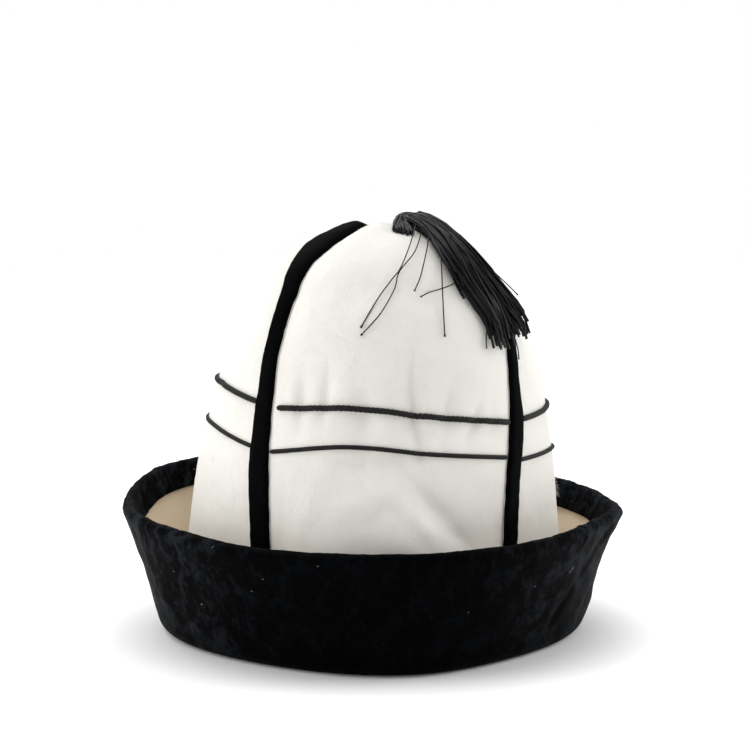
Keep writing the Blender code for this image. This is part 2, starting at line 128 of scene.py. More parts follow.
BASE_RADIUS = HEAD_GIRTH / (2 * math.pi) + FELT
WRAP = BRIM_FELT / 2 + SEAT + VELVET
FOLD_TOP = WRAP + INNER_BEND + LEG
GORE_BOTTOM = FOLD_TOP + SEAT
print("fold radius", round(BASE_RADIUS, 4), "crown starts at", round(GORE_BOTTOM, 4))

# %% Tables of the crown
# Columns: height above the fold as a share, radius as a share of the fold's, lean to the right as such.
CROWN_PROFILE = (
    (0.000, 1.000, 0.000),
    (0.100, 0.995, 0.002),
    (0.198, 0.980, 0.008),
    (0.395, 0.934, 0.022),
    (0.522, 0.889, 0.038),
    (0.616, 0.846, 0.050),
    (0.711, 0.802, 0.053),
    (0.780, 0.760, 0.048),
    (0.838, 0.689, 0.042),
    (0.880, 0.630, 0.038),
    (0.915, 0.556, 0.038),
    (0.950, 0.447, 0.048),
    (0.982, 0.315, 0.056),
    (1.000, 0.195, 0.064),
    (0.993, 0.086, 0.076),
    (0.984, 0.000, 0.086),
)
SEAM_NAMES = ("front_left", "front_right", "back_right", "back_left")
# Columns: way up the crown's side from 0 to 1, azimuth of each seam there.
SEAM_RUNS = (
    (0.00, -29.5, 41.0, 138.0, 228.0),
    (0.25, -32.9, 42.6, 137.0, 229.0),
    (0.45, -38.0, 48.4, 136.0, 228.0),
    (0.54, -40.3, 52.0, 135.5, 227.5),
    (0.64, -38.5, 55.8, 135.0, 227.0),
    (0.80, -38.4, 57.5, 134.0, 226.0),
    (1.00, -37.4, 54.0, 134.0, 226.0),
)
# Columns: way, width of each seam's strip there as a share of the full width.
STRIP_WIDTHS = (
    (0.00, 0.90, 0.82, 0.86, 0.86),
    (0.30, 1.08, 0.86, 0.96, 0.96),
    (0.40, 0.95, 0.90, 0.98, 0.98),
    (0.50, 0.80, 0.56, 0.86, 0.84),
    (0.64, 0.74, 0.52, 0.78, 0.76),
    (0.75, 1.02, 0.76, 0.86, 0.88),
    (0.82, 1.30, 0.72, 0.82, 0.84),
    (0.90, 0.82, 0.66, 0.68, 0.70),
    (1.00, 0.10, 0.20, 0.20, 0.20),
)
GORES = ("front", "right", "back", "left")
# Columns: gore, place across it, way up it, half length, half width, turn in degrees, depth.
FOLDS = (
    ("front", 0.54, 0.46, 0.140, 0.028, 90.0, -0.0070),
    ("front", 0.66, 0.25, 0.150, 0.050, -38.0, -0.0190),
    ("front", 0.55, 0.19, 0.130, 0.060, -38.0, 0.0160),
    ("front", 0.62, 0.58, 0.170, 0.120, 0.0, -0.0110),
    ("front", 0.26, 0.16, 0.110, 0.080, 60.0, 0.0060),
    ("right", 0.55, 0.34, 0.130, 0.055, 78.0, -0.0080),
    ("right", 0.40, 0.62, 0.120, 0.110, 20.0, -0.0070),
    ("right", 0.45, 0.74, 0.190, 0.220, 90.0, -0.0160),
    ("back", 0.46, 0.30, 0.160, 0.055, 25.0, -0.0130),
    ("back", 0.60, 0.55, 0.150, 0.045, 95.0, -0.0080),
    ("left", 0.38, 0.27, 0.140, 0.060, 70.0, -0.0080),
    ("left", 0.62, 0.60, 0.140, 0.110, 10.0, -0.0060),
)
# Columns: gore, cord, its height at the start, a third, two thirds and the end, as shares of the crown's.
CORDS = (
    ("front", "upper", 0.572, 0.578, 0.556, 0.533),
    ("front", "lower", 0.472, 0.492, 0.473, 0.453),
    ("right", "upper", 0.536, 0.548, 0.553, 0.556),
    ("right", "lower", 0.443, 0.447, 0.440, 0.450),
    ("back", "upper", 0.560, 0.582, 0.592, 0.586),
    ("back", "lower", 0.456, 0.478, 0.488, 0.484),
    ("left", "upper", 0.600, 0.614, 0.611, 0.582),
    ("left", "lower", 0.500, 0.518, 0.514, 0.480),
)

# %% Tables of the brim and tassel
# Columns: azimuth, height and flare as shares of the brim's, the foot's share of the fold's radius.
RIM = (
    (0.0, 0.947, 0.84, 0.026),
    (14.0, 0.950, 0.82, 0.034),
    (30.0, 0.960, 0.95, 0.022),
    (45.0, 0.980, 0.98, 0.010),
    (62.0, 1.015, 1.05, 0.004),
    (76.0, 1.020, 1.14, 0.000),
    (90.0, 0.985, 1.10, 0.000),
    (108.0, 1.012, 1.04, 0.000),
    (140.0, 1.070, 1.00, 0.000),
    (180.0, 1.130, 0.92, 0.010),
    (220.0, 1.200, 1.00, 0.000),
    (250.0, 1.190, 1.03, 0.000),
    (270.0, 1.085, 1.00, 0.000),
    (284.0, 1.050, 1.04, 0.000),
    (300.0, 1.030, 1.05, 0.000),
    (315.0, 0.997, 0.98, 0.002),
    (335.0, 0.955, 0.96, 0.014),
    (360.0, 0.947, 0.84, 0.026),
)
# Columns: azimuth, half width in degrees, share of the wall's height, half height as such a share, depth
# as a share of the brim's height.
BRIM_DENTS = (
    (66.0, 8.0, 0.60, 0.40, -0.045),
    (79.0, 7.0, 0.62, 0.35, -0.050),
    (96.0, 9.0, 0.62, 0.35, -0.055),
    (286.0, 8.0, 0.55, 0.40, -0.030),
    (300.0, 8.0, 0.40, 0.40, 0.030),
    (20.0, 16.0, 0.45, 0.40, 0.020),
    (160.0, 12.0, 0.55, 0.40, -0.035),
    (205.0, 14.0, 0.50, 0.40, 0.030),
)
# Columns: share of the tassel's length, azimuth.
TASSEL_LAY = ((0.0, 78.0), (0.25, 56.0), (0.50, 46.5), (0.75, 46.5), (1.0, 52.0))
# Columns: place across the skirt from -1 to 1, then width, height and length of the lock as shares.
LOCKS = (
    (-1.00, 1.00, 0.76, 0.93),
    (-0.76, 1.04, 1.03, 1.00),
    (-0.50, 0.95, 0.90, 0.95),
    (-0.24, 1.06, 1.16, 1.02),
    (0.02, 0.96, 0.98, 0.98),
    (0.28, 1.05, 1.19, 1.03),
    (0.52, 0.94, 0.93, 0.96),
    (0.77, 1.03, 1.06, 1.01),
    (1.00, 0.99, 0.79, 0.95),
)

# %% [markdown]
# ## The crown's surface
# The crown isn't round: it leans, its gores swell between sunken seams, and the felt has a few soft
# folds. One function gives a point anywhere on its outer face, and every piece that is sewn to the
# crown is laid on that same function. A slow random swell makes the felt a little uneven, as steamed
# felt is, and it fades out at the seams where the strips lie.


# %% Rows and easing
def row_at(rows, x):
    """The other columns of a table at x in its first, smoothly between its rows."""
    places = [row[0] for row in rows]
    i = min(max(bisect.bisect_right(places, x) - 1, 0), len(rows) - 2)
    before, low, high, after = (rows[max(i - 1, 0)], rows[i], rows[i + 1], rows[min(i + 2, len(rows) - 1)])
    span = high[0] - low[0]
    s = (x - low[0]) / span
    found = []
    for a, b, c, d in zip(before[1:], low[1:], high[1:], after[1:]):
        leaving = (c - a) / (high[0] - before[0]) * span
        arriving = (d - b) / (after[0] - low[0]) * span
        found.append(
            (2 * s**3 - 3 * s**2 + 1) * b
            + (s**3 - 2 * s**2 + s) * leaving
            + (3 * s**2 - 2 * s**3) * c
            + (s**3 - s**2) * arriving
        )
    return found


def eased(x):
    """0 below 0, 1 above 1, and smooth between."""
    x = min(max(x, 0.0), 1.0)
    return x * x * (3 - 2 * x)


def around(azimuth, radius, height):
    """A point at an azimuth, which is 0 in front and 90 on the viewer's right."""
    a = math.radians(azimuth)
    return Vector((radius * math.sin(a), -radius * math.cos(a), height))


# %% The crown's side and seams
WAY_STEP = 0.004


def meridian_rows():
    """The crown's profile against the way along its side, and that side's length."""
    span = CROWN_HEIGHT - GORE_BOTTOM
    points = [(r * BASE_RADIUS, GORE_BOTTOM + h * span, lean * BASE_RADIUS) for h, r, lean in CROWN_PROFILE]
    lengths = [0.0]
    for low, high in zip(points, points[1:]):
        lengths.append(lengths[-1] + math.dist(low[:2], high[:2]))
    return [(length / lengths[-1], *point) for length, point in zip(lengths, points)], lengths[-1]


MERIDIAN, SIDE_LENGTH = meridian_rows()


@functools.lru_cache(maxsize=None)
def meridian(way):
    """Radius, height and lean of the crown's side, and the outward normal there as (out, up)."""
    radius, height, lean = row_at(MERIDIAN, way)
    r0, z0, _ = row_at(MERIDIAN, max(way - WAY_STEP, 0.0))
    r1, z1, _ = row_at(MERIDIAN, min(way + WAY_STEP, 1.0))
    length = math.hypot(r1 - r0, z1 - z0)
    return radius, height, lean, (z1 - z0) / length, (r0 - r1) / length


@functools.lru_cache(maxsize=None)
def seams_at(way):
    """The azimuths of the four seams, that way up the crown's side."""
    return row_at(SEAM_RUNS, min(max(way, 0.0), 1.0))


def seam_azimuth(seam, way):
    """The azimuth of a seam. Counting on past the last seam goes round again, a turn further."""
    turns, i = divmod(seam, len(SEAM_NAMES))
    return seams_at(way)[i] + 360.0 * turns


def gore_at(azimuth, way):
    """The gore at an azimuth, and how far across it that lies, from 0 to 1."""
    turned = (azimuth - seam_azimuth(0, way)) % 360.0 + seam_azimuth(0, way)
    for gore in range(len(GORES)):
        low, high = seam_azimuth(gore, way), seam_azimuth(gore + 1, way)
        if turned < high:
            return gore, (turned - low) / (high - low)
    return 0, 0.0


def gore_width(gore, way):
    """A gore's width along its face, without its swelling."""
    return math.radians(seam_azimuth(gore + 1, way) - seam_azimuth(gore, way)) * meridian(way)[0]


print("length of the crown's side", round(SIDE_LENGTH, 4))

# %% [markdown]
# The folds of the first table are the large ones. The felt also carries slight ones that only the light
# shows: short dents between the two cords, where the thread that holds the cords pulls the felt in, a
# crease with a ridge beside it low on the front gore, and shallow swells.

# %% Folds and swells of the felt
EDGE_SHARE = 1 / 6  # folds fade out over this share of a gore's width at its edges
# The same columns as FOLDS.
SLIGHT_FOLDS = (
    ("front", 0.13, 0.46, 0.060, 0.020, 88.0, -0.0085),
    ("front", 0.23, 0.47, 0.060, 0.016, 84.0, -0.0080),
    ("front", 0.38, 0.44, 0.080, 0.030, 96.0, -0.0100),
    ("front", 0.585, 0.42, 0.130, 0.018, 101.0, -0.0150),
    ("front", 0.70, 0.44, 0.060, 0.020, 80.0, -0.0075),
    ("front", 0.82, 0.42, 0.055, 0.018, 66.0, -0.0080),
    ("front", 0.90, 0.42, 0.050, 0.020, 92.0, -0.0040),
    ("front", 0.645, 0.275, 0.095, 0.012, -46.0, -0.0060),
    ("front", 0.595, 0.240, 0.105, 0.024, -44.0, 0.0090),
    ("front", 0.680, 0.250, 0.150, 0.054, -38.0, 0.0135),
    ("front", 0.760, 0.205, 0.035, 0.007, -30.0, -0.0030),
    ("front", 0.440, 0.345, 0.090, 0.024, 4.0, -0.0080),
    ("front", 0.400, 0.275, 0.080, 0.030, 12.0, 0.0060),
    ("front", 0.170, 0.26, 0.110, 0.030, 62.0, 0.0040),
    ("front", 0.50, 0.45, 0.330, 0.110, 0.0, -0.0140),
    ("front", 0.42, 0.16, 0.330, 0.120, 0.0, 0.0180),
    ("front", 0.30, 0.66, 0.120, 0.050, 40.0, -0.0040),
    ("right", 0.30, 0.47, 0.050, 0.020, 86.0, -0.0042),
    ("right", 0.62, 0.46, 0.048, 0.020, 95.0, -0.0040),
    ("right", 0.75, 0.22, 0.110, 0.035, 60.0, -0.0060),
    ("back", 0.22, 0.47, 0.050, 0.020, 90.0, -0.0042),
    ("back", 0.50, 0.47, 0.050, 0.020, 88.0, -0.0036),
    ("back", 0.76, 0.47, 0.050, 0.020, 92.0, -0.0042),
    ("back", 0.30, 0.20, 0.100, 0.040, -50.0, -0.0060),
    ("left", 0.28, 0.48, 0.050, 0.020, 90.0, -0.0042),
    ("left", 0.66, 0.49, 0.050, 0.020, 94.0, -0.0040),
    ("left", 0.72, 0.24, 0.110, 0.035, 110.0, -0.0050),
)
SWELL = 0.00085  # how far the felt's slow swells rise
SWELL_SIZE = 0.030
GRAIN = 0.00018  # how far its grain rises
GRAIN_SIZE = 0.0045


def fold_depth(gore, across, way):
    """How far the felt's folds lift it, or sink it where negative."""
    width = math.radians(seam_azimuth(gore + 1, way) - seam_azimuth(gore, way)) * BASE_RADIUS
    edge = eased(across / EDGE_SHARE) * eased((1 - across) / EDGE_SHARE)
    depth = 0.0
    for name, middle, up, half_length, half_width, turn, lift in FOLDS + SLIGHT_FOLDS:
        if name != GORES[gore]:
            continue
        x, y = (across - middle) * width, (way - up) * SIDE_LENGTH
        a = math.radians(turn)
        along = (x * math.cos(a) + y * math.sin(a)) / (half_length * CROWN_HEIGHT)
        beside = (y * math.cos(a) - x * math.sin(a)) / (half_width * CROWN_HEIGHT)
        depth += lift * CROWN_HEIGHT * edge * math.exp(-along * along - beside * beside)
    return depth


def plan_share(across, flattening):
    """A radius as a share of the one in the middle of a gore."""
    return 1 - flattening * (1 + math.cos(2 * math.pi * across)) / 2


# %% The brim's section
BEND_STEPS = 8
WALL_STEPS = 26
RIM_STEPS = 12
BAND_STEPS = 8
HEM_WANDER = 0.0007
HEM_CIRCLE = 3.0  # radius of the circle in the noise that the hem follows


def brim_dent(azimuth, share):
    """How far a dent or swelling moves the brim's wall outwards at that share of its height."""
    depth = 0.0
    # The dents fade out over the lowest third of the wall.
    for middle, half_width, up, half_height, lift in BRIM_DENTS:
        round_by = ((azimuth - middle + 180.0) % 360.0 - 180.0) / half_width
        up_by = (share - up) / half_height
        depth += lift * BRIM_HEIGHT * math.exp(-round_by * round_by - up_by * up_by)
    return depth * eased(share * 3)


def brim_section(azimuth, face, velvet=False):
    """The brim's section as points (radius, height), on the face that lies face outside the middle of the
    felt, from inside the head opening under the fold and up to the rim, and for velvet on inside it."""
    height_share, flare_share, foot_share = row_at(RIM, azimuth % 360.0)
    across = gore_at(azimuth, 0.0)[1]
    fold_share = plan_share(across, GORE_FLATTENING)
    rim_share = plan_share(across, RIM_FLATTENING) / fold_share
    inner = BASE_RADIUS * fold_share - FELT / 2
    corner = inner + INNER_BEND + REST_WIDTH + foot_share * BASE_RADIUS
    top = BRIM_HEIGHT * height_share - WRAP
    rim = (corner + OUTER_BEND + BRIM_FLARE * flare_share) * rim_share
    low = WRAP + OUTER_BEND
    lean = math.atan2(rim - corner - OUTER_BEND, top - low)
    foot = Vector((corner + OUTER_BEND * math.cos(lean), low - OUTER_BEND * math.sin(lean)))
    points = [Vector((inner - face, FOLD_TOP))]
    for step in range(BEND_STEPS):
        a = math.radians(180 + 90 * step / (BEND_STEPS - 1))
        bend = Vector((math.cos(a), math.sin(a))) * (INNER_BEND + face)
        points.append(Vector((inner + INNER_BEND, WRAP + INNER_BEND)) + bend)
    for step in range(BEND_STEPS + 1):
        a = -math.pi / 2 + (math.pi / 2 - lean) * step / BEND_STEPS
        points.append(Vector((corner, low)) + Vector((math.cos(a), math.sin(a))) * (OUTER_BEND + face))
    wall = Vector((rim, top)) - foot
    out = Vector((math.cos(lean), -math.sin(lean)))
    for step in range(1, WALL_STEPS + 1):
        share = step / WALL_STEPS
        points.append(foot + wall * share + out * (face + brim_dent(azimuth, share)))
    if velvet:
        end = Vector((rim, top)) + out * brim_dent(azimuth, 1.0)
        for step in range(1, RIM_STEPS + 1):
            a = -lean + math.pi * step / RIM_STEPS
            points.append(end + face * Vector((math.cos(a), math.sin(a))))
        band = hem_depth(azimuth)
        for step in range(1, BAND_STEPS + 1):
            share = 1 - step / BAND_STEPS * band / wall.length
            points.append(foot + wall * share + out * (brim_dent(azimuth, share) - face))
    return points


def hem_depth(azimuth):
    """How far the velvet reaches down inside the rim. The hem is sewn by hand, so it wanders a little."""
    return RIM_BAND + HEM_WANDER * noise.noise(around(azimuth, HEM_CIRCLE, 0.0))


# %% The origin lies below the middle of the brim
def brim_middle():
    """The middle of the brim's outline, seen from above."""
    edge = [around(a, *p) for a in range(360) for p in brim_section(a, WRAP, True)]
    xs, ys = [p.x for p in edge], [p.y for p in edge]
    return Vector(((min(xs) + max(xs)) / 2, (min(ys) + max(ys)) / 2, 0.0))


MIDDLE = brim_middle()
print("middle of the brim", [round(value, 5) for value in MIDDLE])


# %% A point on the crown
ROUND_WAY = 0.5  # from here up, the gores no longer flatten the crown's plan
VALLEY_SHARPNESS = 4
VALLEY_FADE = 0.2  # share of the fold's radius inside which the seams' valleys fade out


def on_gore(gore, across, way, lift=0.0):
    """A point on the crown's outer face, or lift above it."""
    radius, height, lean, out, up = meridian(way)
    azimuth = seam_azimuth(gore, way) * (1 - across) + seam_azimuth(gore + 1, way) * across
    radius *= plan_share(across, GORE_FLATTENING * (1 - eased(way / ROUND_WAY)))
    start, end = VALLEY_WAYS
    valley = SEAM_VALLEY * eased((way - start) / (end - start)) * abs(2 * across - 1) ** VALLEY_SHARPNESS
    valley *= min(1.0, radius / (VALLEY_FADE * BASE_RADIUS))
    spot = around(azimuth, radius, height)
    edge = eased(across / EDGE_SHARE) * eased((1 - across) / EDGE_SHARE)
    swell = SWELL * edge * noise.noise(spot / SWELL_SIZE) + GRAIN * noise.noise(spot / GRAIN_SIZE)
    depth = lift + fold_depth(gore, across, way) + swell - valley
    return around(azimuth, radius + depth * out, height + depth * up) + Vector((lean, 0.0, 0.0)) - MIDDLE


def on_crown(azimuth, way, lift=0.0):
    """The same, from an azimuth round the crown."""
    return on_gore(*gore_at(azimuth, way), way, lift)


# %% [markdown]
# ## Making meshes
# Felt and velvet have two faces and a rounded edge, so each is a closed shell: a fine grid of points
# outside, one inside, and faces between them along the edges. Cord and thread are tubes swept along a
# path. Both are short functions here, because Blender's Solidify and Curve tools give no say in how the
# edges of felt roll in, or how a strand's section turns along a twist.

# %% Shells, lofts and tubes
def make_piece(name, build, look, slot, *nodes):
    """An object from (points, faces), which stands in for the nodes that are named."""
    verts, faces = build
    mesh = bpy.data.meshes.new(name)
    mesh.from_pydata([tuple(point) for point in verts], [], faces)
    mesh.shade_smooth()
    mesh.materials.append(look)
    piece = bpy.data.objects.new(name, mesh)
    bpy.context.scene.collection.objects.link(piece)
    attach(piece, "root")
    if nodes:
        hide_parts(*nodes)
    print(name, len(verts), "points", sum(len(face) - 2 for face in faces), "triangles")
    return piece


def gridded(first, columns, rows, ring, flip):
    """Faces over points that are numbered from first, row by row."""
    span = columns if ring else columns + 1
    faces = []
    for row in range(rows):
        for column in range(columns):
            a, b = first + row * span + column, first + row * span + (column + 1) % span
            face = (a, b, b + span, a + span)
            faces.append(face[::-1] if flip else face)
    return faces


def shell(outer, inner, ring=False):
    """A closed shell from rows of points on its outer face and as many on its inner one."""
    rows = len(outer) - 1
    span = len(outer[0])
    columns = span if ring else span - 1
    verts = [point for row in outer + inner for point in row]
    under = len(outer) * span
    faces = gridded(0, columns, rows, ring, False) + gridded(under, columns, rows, ring, True)
    top = rows * span
    for column in range(columns):
        a, b = column, (column + 1) % span
        faces.append((b, a, under + a, under + b))
        faces.append((top + a, top + b, under + top + b, under + top + a))
    if not ring:
        for row in range(rows):
            a, b = row * span, (row + 1) * span
            faces.append((a, b, under + b, under + a))
            c, d = a + columns, b + columns
            faces.append((d, c, under + c, under + d))
    return verts, faces


def loft(rings, build=None):
    """A closed bar through rings of points."""
    verts, faces = build or ([], [])
    first, count = len(verts), len(rings[0])
    for ring in rings:
        verts.extend(ring)
    for low in range(first, first + (len(rings) - 1) * count, count):
        for i in range(count):
            j = (i + 1) % count
            faces.append((low + i, low + j, low + count + j, low + count + i))
    faces.append(tuple(range(first + count - 1, first - 1, -1)))
    faces.append(tuple(range(len(verts) - count, len(verts))))
    return verts, faces


def tube(points, size, sides, build):
    """A closed tube along points. size(share) gives its radius along it."""
    side = (points[1] - points[0]).orthogonal().normalized()
    last = len(points) - 1
    rings = []
    for i, point in enumerate(points):
        along = (points[min(i + 1, last)] - points[max(i - 1, 0)]).normalized()
        side = (side - along * side.dot(along)).normalized()
        up = along.cross(side)
        radius = size(i / last)
        turns = [2 * math.pi * k / sides for k in range(sides)]
        rings.append([point + (side * math.cos(a) + up * math.sin(a)) * radius for a in turns])
    return loft(rings, build)


def smooth_path(points, steps):
    """A curve through points, with that many steps between each two."""
    found = []
    for i in range(len(points) - 1):
        a, b, c, d = (points[min(max(k, 0), len(points) - 1)] for k in range(i - 1, i + 3))
        square, cube = 2 * a - 5 * b + 4 * c - d, 3 * b - a - 3 * c + d
        for step in range(steps):
            s = step / steps
            found.append(0.5 * (2 * b + (c - a) * s + square * s**2 + cube * s**3))
    return found + [points[-1]]


# %% [markdown]
# ## Finishes
# Blender's Principled shader makes all the cloth here. Felt is matt and a little cloudy, with matted
# fibres that catch the light. Velvet is the darkest cloth there is, because light is lost between the
# upright hairs of its pile: only hairs that lie over, along creases and at the edge, shine. That calls
# for a low specular level and a thin sheen, and the shine of crushed patches is painted into the colour
# as a lighter shade. Effects that two materials share are node groups.

# %% Node helpers
def add_node(tree, kind, inputs=None, **settings):
    """A node whose inputs are values, or sockets to be linked."""
    made = tree.nodes.new(kind)
    for key, value in settings.items():
        setattr(made, key, value)
    for key, value in (inputs or {}).items():
        if isinstance(value, bpy.types.NodeSocket):
            tree.links.new(value, made.inputs[key])
        else:
            made.inputs[key].default_value = value
    return made


def new_group(name, inputs, outputs):
    """A group of nodes, what comes into it, and where its results go."""
    group = bpy.data.node_groups.new(name, "ShaderNodeTree")
    for label, value in inputs.items():
        socket = group.interface.new_socket(label, in_out="INPUT", socket_type="NodeSocketFloat")
        socket.default_value = value
    for label in outputs:
        group.interface.new_socket(label, in_out="OUTPUT", socket_type="NodeSocketFloat")
    return group, group.nodes.new("NodeGroupInput").outputs, group.nodes.new("NodeGroupOutput").inputs


def worked(tree, operation, *values):
    """The result of a sum on values or sockets."""
    return add_node(tree, "ShaderNodeMath", dict(enumerate(values)), operation=operation).outputs[0]


def clouds(tree, place, scale, detail=4.0, roughness=0.55, distortion=0.0):
    """Soft random clouds between 0 and 1, scale of them to a metre."""
    settings = {"Scale": scale, "Detail": detail, "Roughness": roughness, "Distortion": distortion}
    return add_node(tree, "ShaderNodeTexNoise", {"Vector": place, **settings}).outputs["Fac"]


def stretched(tree, place, scale):
    """A place with each of its coordinates scaled."""
    return add_node(tree, "ShaderNodeMapping", {"Vector": place, "Scale": scale}).outputs["Vector"]


def steps_between(tree, value, low, high):
    """0 where value is below low, 1 above high, smooth between."""
    settings = {"Value": value, "From Min": low, "From Max": high}
    made = add_node(tree, "ShaderNodeMapRange", settings, interpolation_type="SMOOTHSTEP")
    return made.outputs["Result"]


def colour_between(tree, share, dark, light):
    """A mix of two colours. Inputs 0, 6 and 7 of the node are the share and the two colours."""
    settings = {0: share, 6: (*dark, 1.0), 7: (*light, 1.0)}
    return add_node(tree, "ShaderNodeMix", settings, data_type="RGBA").outputs[2]


# %% Group: matted wool
# The scales are in clouds to a metre.
FINE_WOOL = 2600.0
MATTED_WOOL = 520.0
WINDING_FIBRES = 230.0
FELT_CLOUDS = 26.0
FIBRE_BAND = 0.035  # a fibre lies where the winding clouds are this near their middle value
FIBRE_EDGE = 0.03
FIBRE_RISE = 0.22


def wool_group():
    """Height of the matted fibres, with thin fibres that lie on top, and slow cloudiness."""
    group, given, out = new_group("Matted wool", {"Fineness": 1.0}, ("Height", "Cloud"))
    place = add_node(group, "ShaderNodeTexCoord").outputs["Object"]
    fine_scale = worked(group, "MULTIPLY", given["Fineness"], FINE_WOOL)
    fine = clouds(group, place, fine_scale, detail=3.0, roughness=0.7, distortion=0.6)
    matted_scale = worked(group, "MULTIPLY", given["Fineness"], MATTED_WOOL)
    matted = clouds(group, place, matted_scale, detail=6.0, roughness=0.68, distortion=1.4)
    winding = clouds(group, place, WINDING_FIBRES, detail=3.0, roughness=0.5, distortion=3.5)
    strands = worked(group, "ABSOLUTE", worked(group, "SUBTRACT", winding, 0.5))
    thin = steps_between(group, worked(group, "SUBTRACT", FIBRE_BAND, strands), 0.0, FIBRE_EDGE)
    height = worked(group, "MULTIPLY_ADD", matted, 0.6, worked(group, "MULTIPLY", fine, 0.4))
    group.links.new(worked(group, "MULTIPLY_ADD", thin, FIBRE_RISE, height), out["Height"])
    cloud = clouds(group, place, FELT_CLOUDS, detail=4.0, roughness=0.55, distortion=0.4)
    group.links.new(cloud, out["Cloud"])
    return group


WOOL = wool_group()


# %% Group: velvet pile
# The crushed patches are real pile that lies over, but their lighter colour is painted sheen, and there is
# more of it at the brim's two sides because the side lights glance off there.
PATCH_STRETCH = (1.0, 1.0, 0.75)  # the patches are a little taller than wide
STREAK_FINENESS = 3.2  # streaks to a patch
PILE_HAIRS = 2400.0  # to a metre
SIDE_START = 0.035  # distance from the hat's middle at which the painted sheen of the sides sets in
SIDE_END = 0.110
FRONT_SHEEN = 0.10  # how much of that painted sheen is left in front
CRUSH_START = 0.46  # mask values between which a patch goes from upright to crushed
CRUSH_END = 0.62


def pile_group():
    """Height of the pile, and where it lies over: crushed patches, more at the brim's two sides, that are
    painted lighter as sheen.
    """
    group, given, out = new_group("Velvet pile", {"Patch size": 0.022}, ("Height", "Crush"))
    place = add_node(group, "ShaderNodeTexCoord").outputs["Object"]
    upright = stretched(group, place, PATCH_STRETCH)
    scale = worked(group, "DIVIDE", 1.0, given["Patch size"])
    patches = clouds(group, upright, scale, detail=3.0, roughness=0.55, distortion=0.5)
    streak_scale = worked(group, "MULTIPLY", scale, STREAK_FINENESS)
    streaks = clouds(group, upright, streak_scale, detail=4.0, roughness=0.62, distortion=0.9)
    hairs = clouds(group, place, PILE_HAIRS, detail=2.0, roughness=0.6)
    crush = worked(group, "MULTIPLY_ADD", streaks, 0.45, worked(group, "MULTIPLY", patches, 0.55))
    aside = worked(group, "ABSOLUTE", add_node(group, "ShaderNodeSeparateXYZ", {0: place}).outputs["X"])
    beside = steps_between(group, aside, SIDE_START, SIDE_END)
    # Painted sheen: the lighter patches grow toward the two sides, which face the side lights.
    side_sheen = worked(group, "MULTIPLY_ADD", beside, 1 - FRONT_SHEEN, FRONT_SHEEN)
    lain_over = steps_between(group, crush, CRUSH_START, CRUSH_END)
    group.links.new(worked(group, "MULTIPLY", lain_over, side_sheen), out["Crush"])
    height = worked(group, "MULTIPLY_ADD", hairs, 0.25, worked(group, "MULTIPLY", crush, 0.75))
    group.links.new(height, out["Height"])
    return group


PILE = pile_group()


# %% Group: spun thread
THREAD_FIBRES = 1900.0
THREAD_SHADES = 210.0


def thread_group():
    """Height of the fibres in a thread, and light and dark lengths of it."""
    group, given, out = new_group("Spun thread", {"Fineness": 1.0}, ("Height", "Shade"))
    place = add_node(group, "ShaderNodeTexCoord").outputs["Object"]
    scale = worked(group, "MULTIPLY", given["Fineness"], THREAD_FIBRES)
    fibres = clouds(group, place, scale, detail=4.0, roughness=0.65, distortion=0.8)
    group.links.new(fibres, out["Height"])
    shades = clouds(group, place, THREAD_SHADES, detail=3.0, roughness=0.6, distortion=0.5)
    group.links.new(shades, out["Shade"])
    return group


THREAD = thread_group()
print("node groups", [group.name for group in bpy.data.node_groups])


# %% A material from a group
def new_look(name, group, settings, mask, tint, dark, light, bump, depth, finish):
    """A Principled material. The group's mask mixes dark and light, and its height makes a relief of
    that depth and strength. The tint is the plain colour that a viewport shows."""
    made = bpy.data.materials.new(name)
    made.use_nodes = True
    tree = made.node_tree
    shader = tree.nodes["Principled BSDF"]
    for key, value in finish.items():
        shader.inputs[key].default_value = value
    effect = tree.nodes.new("ShaderNodeGroup")
    effect.node_tree = group
    for key, value in settings.items():
        effect.inputs[key].default_value = value
    colour = colour_between(tree, effect.outputs[mask], dark, light)
    tree.links.new(colour, shader.inputs["Base Color"])
    height = effect.outputs["Height"]
    relief = add_node(tree, "ShaderNodeBump", {"Strength": bump, "Distance": depth, "Height": height})
    tree.links.new(relief.outputs["Normal"], shader.inputs["Normal"])
    made.diffuse_color = (*tint, 1.0)
    return made


# %% Felt
FELT_FINISH = {
    "Roughness": 0.92,
    "Specular IOR Level": 0.18,
    "Sheen Weight": 0.22,
    "Sheen Roughness": 0.55,
}
white_felt = new_look(
    "White wool felt",
    WOOL,
    {"Fineness": 1.0},
    mask="Cloud",
    tint=(0.83, 0.82, 0.78),
    dark=(0.650, 0.630, 0.588),
    light=(0.770, 0.756, 0.712),
    bump=0.60,
    depth=0.00050,
    finish=FELT_FINISH,
)
cream_felt = new_look(
    "Cream wool felt",
    WOOL,
    {"Fineness": 1.2},
    mask="Cloud",
    tint=(0.66, 0.55, 0.40),
    dark=(0.700, 0.560, 0.395),
    light=(0.820, 0.690, 0.520),
    bump=0.35,
    depth=0.00035,
    finish=FELT_FINISH,
)

# %% Velvet
# In both velvets the light colour is painted sheen: the pile's mask lightens crushed patches, most at the
# brim's two sides, which face the side lights. The dark colour is the velvet's own.
VELVET_FINISH = {
    "Roughness": 0.55,
    "Specular IOR Level": 0.010,
    "Sheen Weight": 0.006,
    "Sheen Roughness": 0.34,
    "Sheen Tint": (0.82, 0.90, 1.0, 1.0),
}
crushed_velvet = new_look(
    "Crushed black velvet",
    PILE,
    {"Patch size": 0.0095},
    mask="Crush",
    tint=(0.008, 0.009, 0.011),
    dark=(0.0004, 0.0005, 0.0007),
    light=(0.0115, 0.0136, 0.0165),
    bump=0.85,
    depth=0.00120,
    finish=VELVET_FINISH,
)
ribbon_velvet = new_look(
    "Black velvet ribbon",
    PILE,
    {"Patch size": 0.008},
    mask="Crush",
    tint=(0.008, 0.009, 0.011),
    dark=(0.0010, 0.0011, 0.0013),
    light=(0.0045, 0.0048, 0.0054),
    bump=0.45,
    depth=0.00050,
    finish=VELVET_FINISH,
)

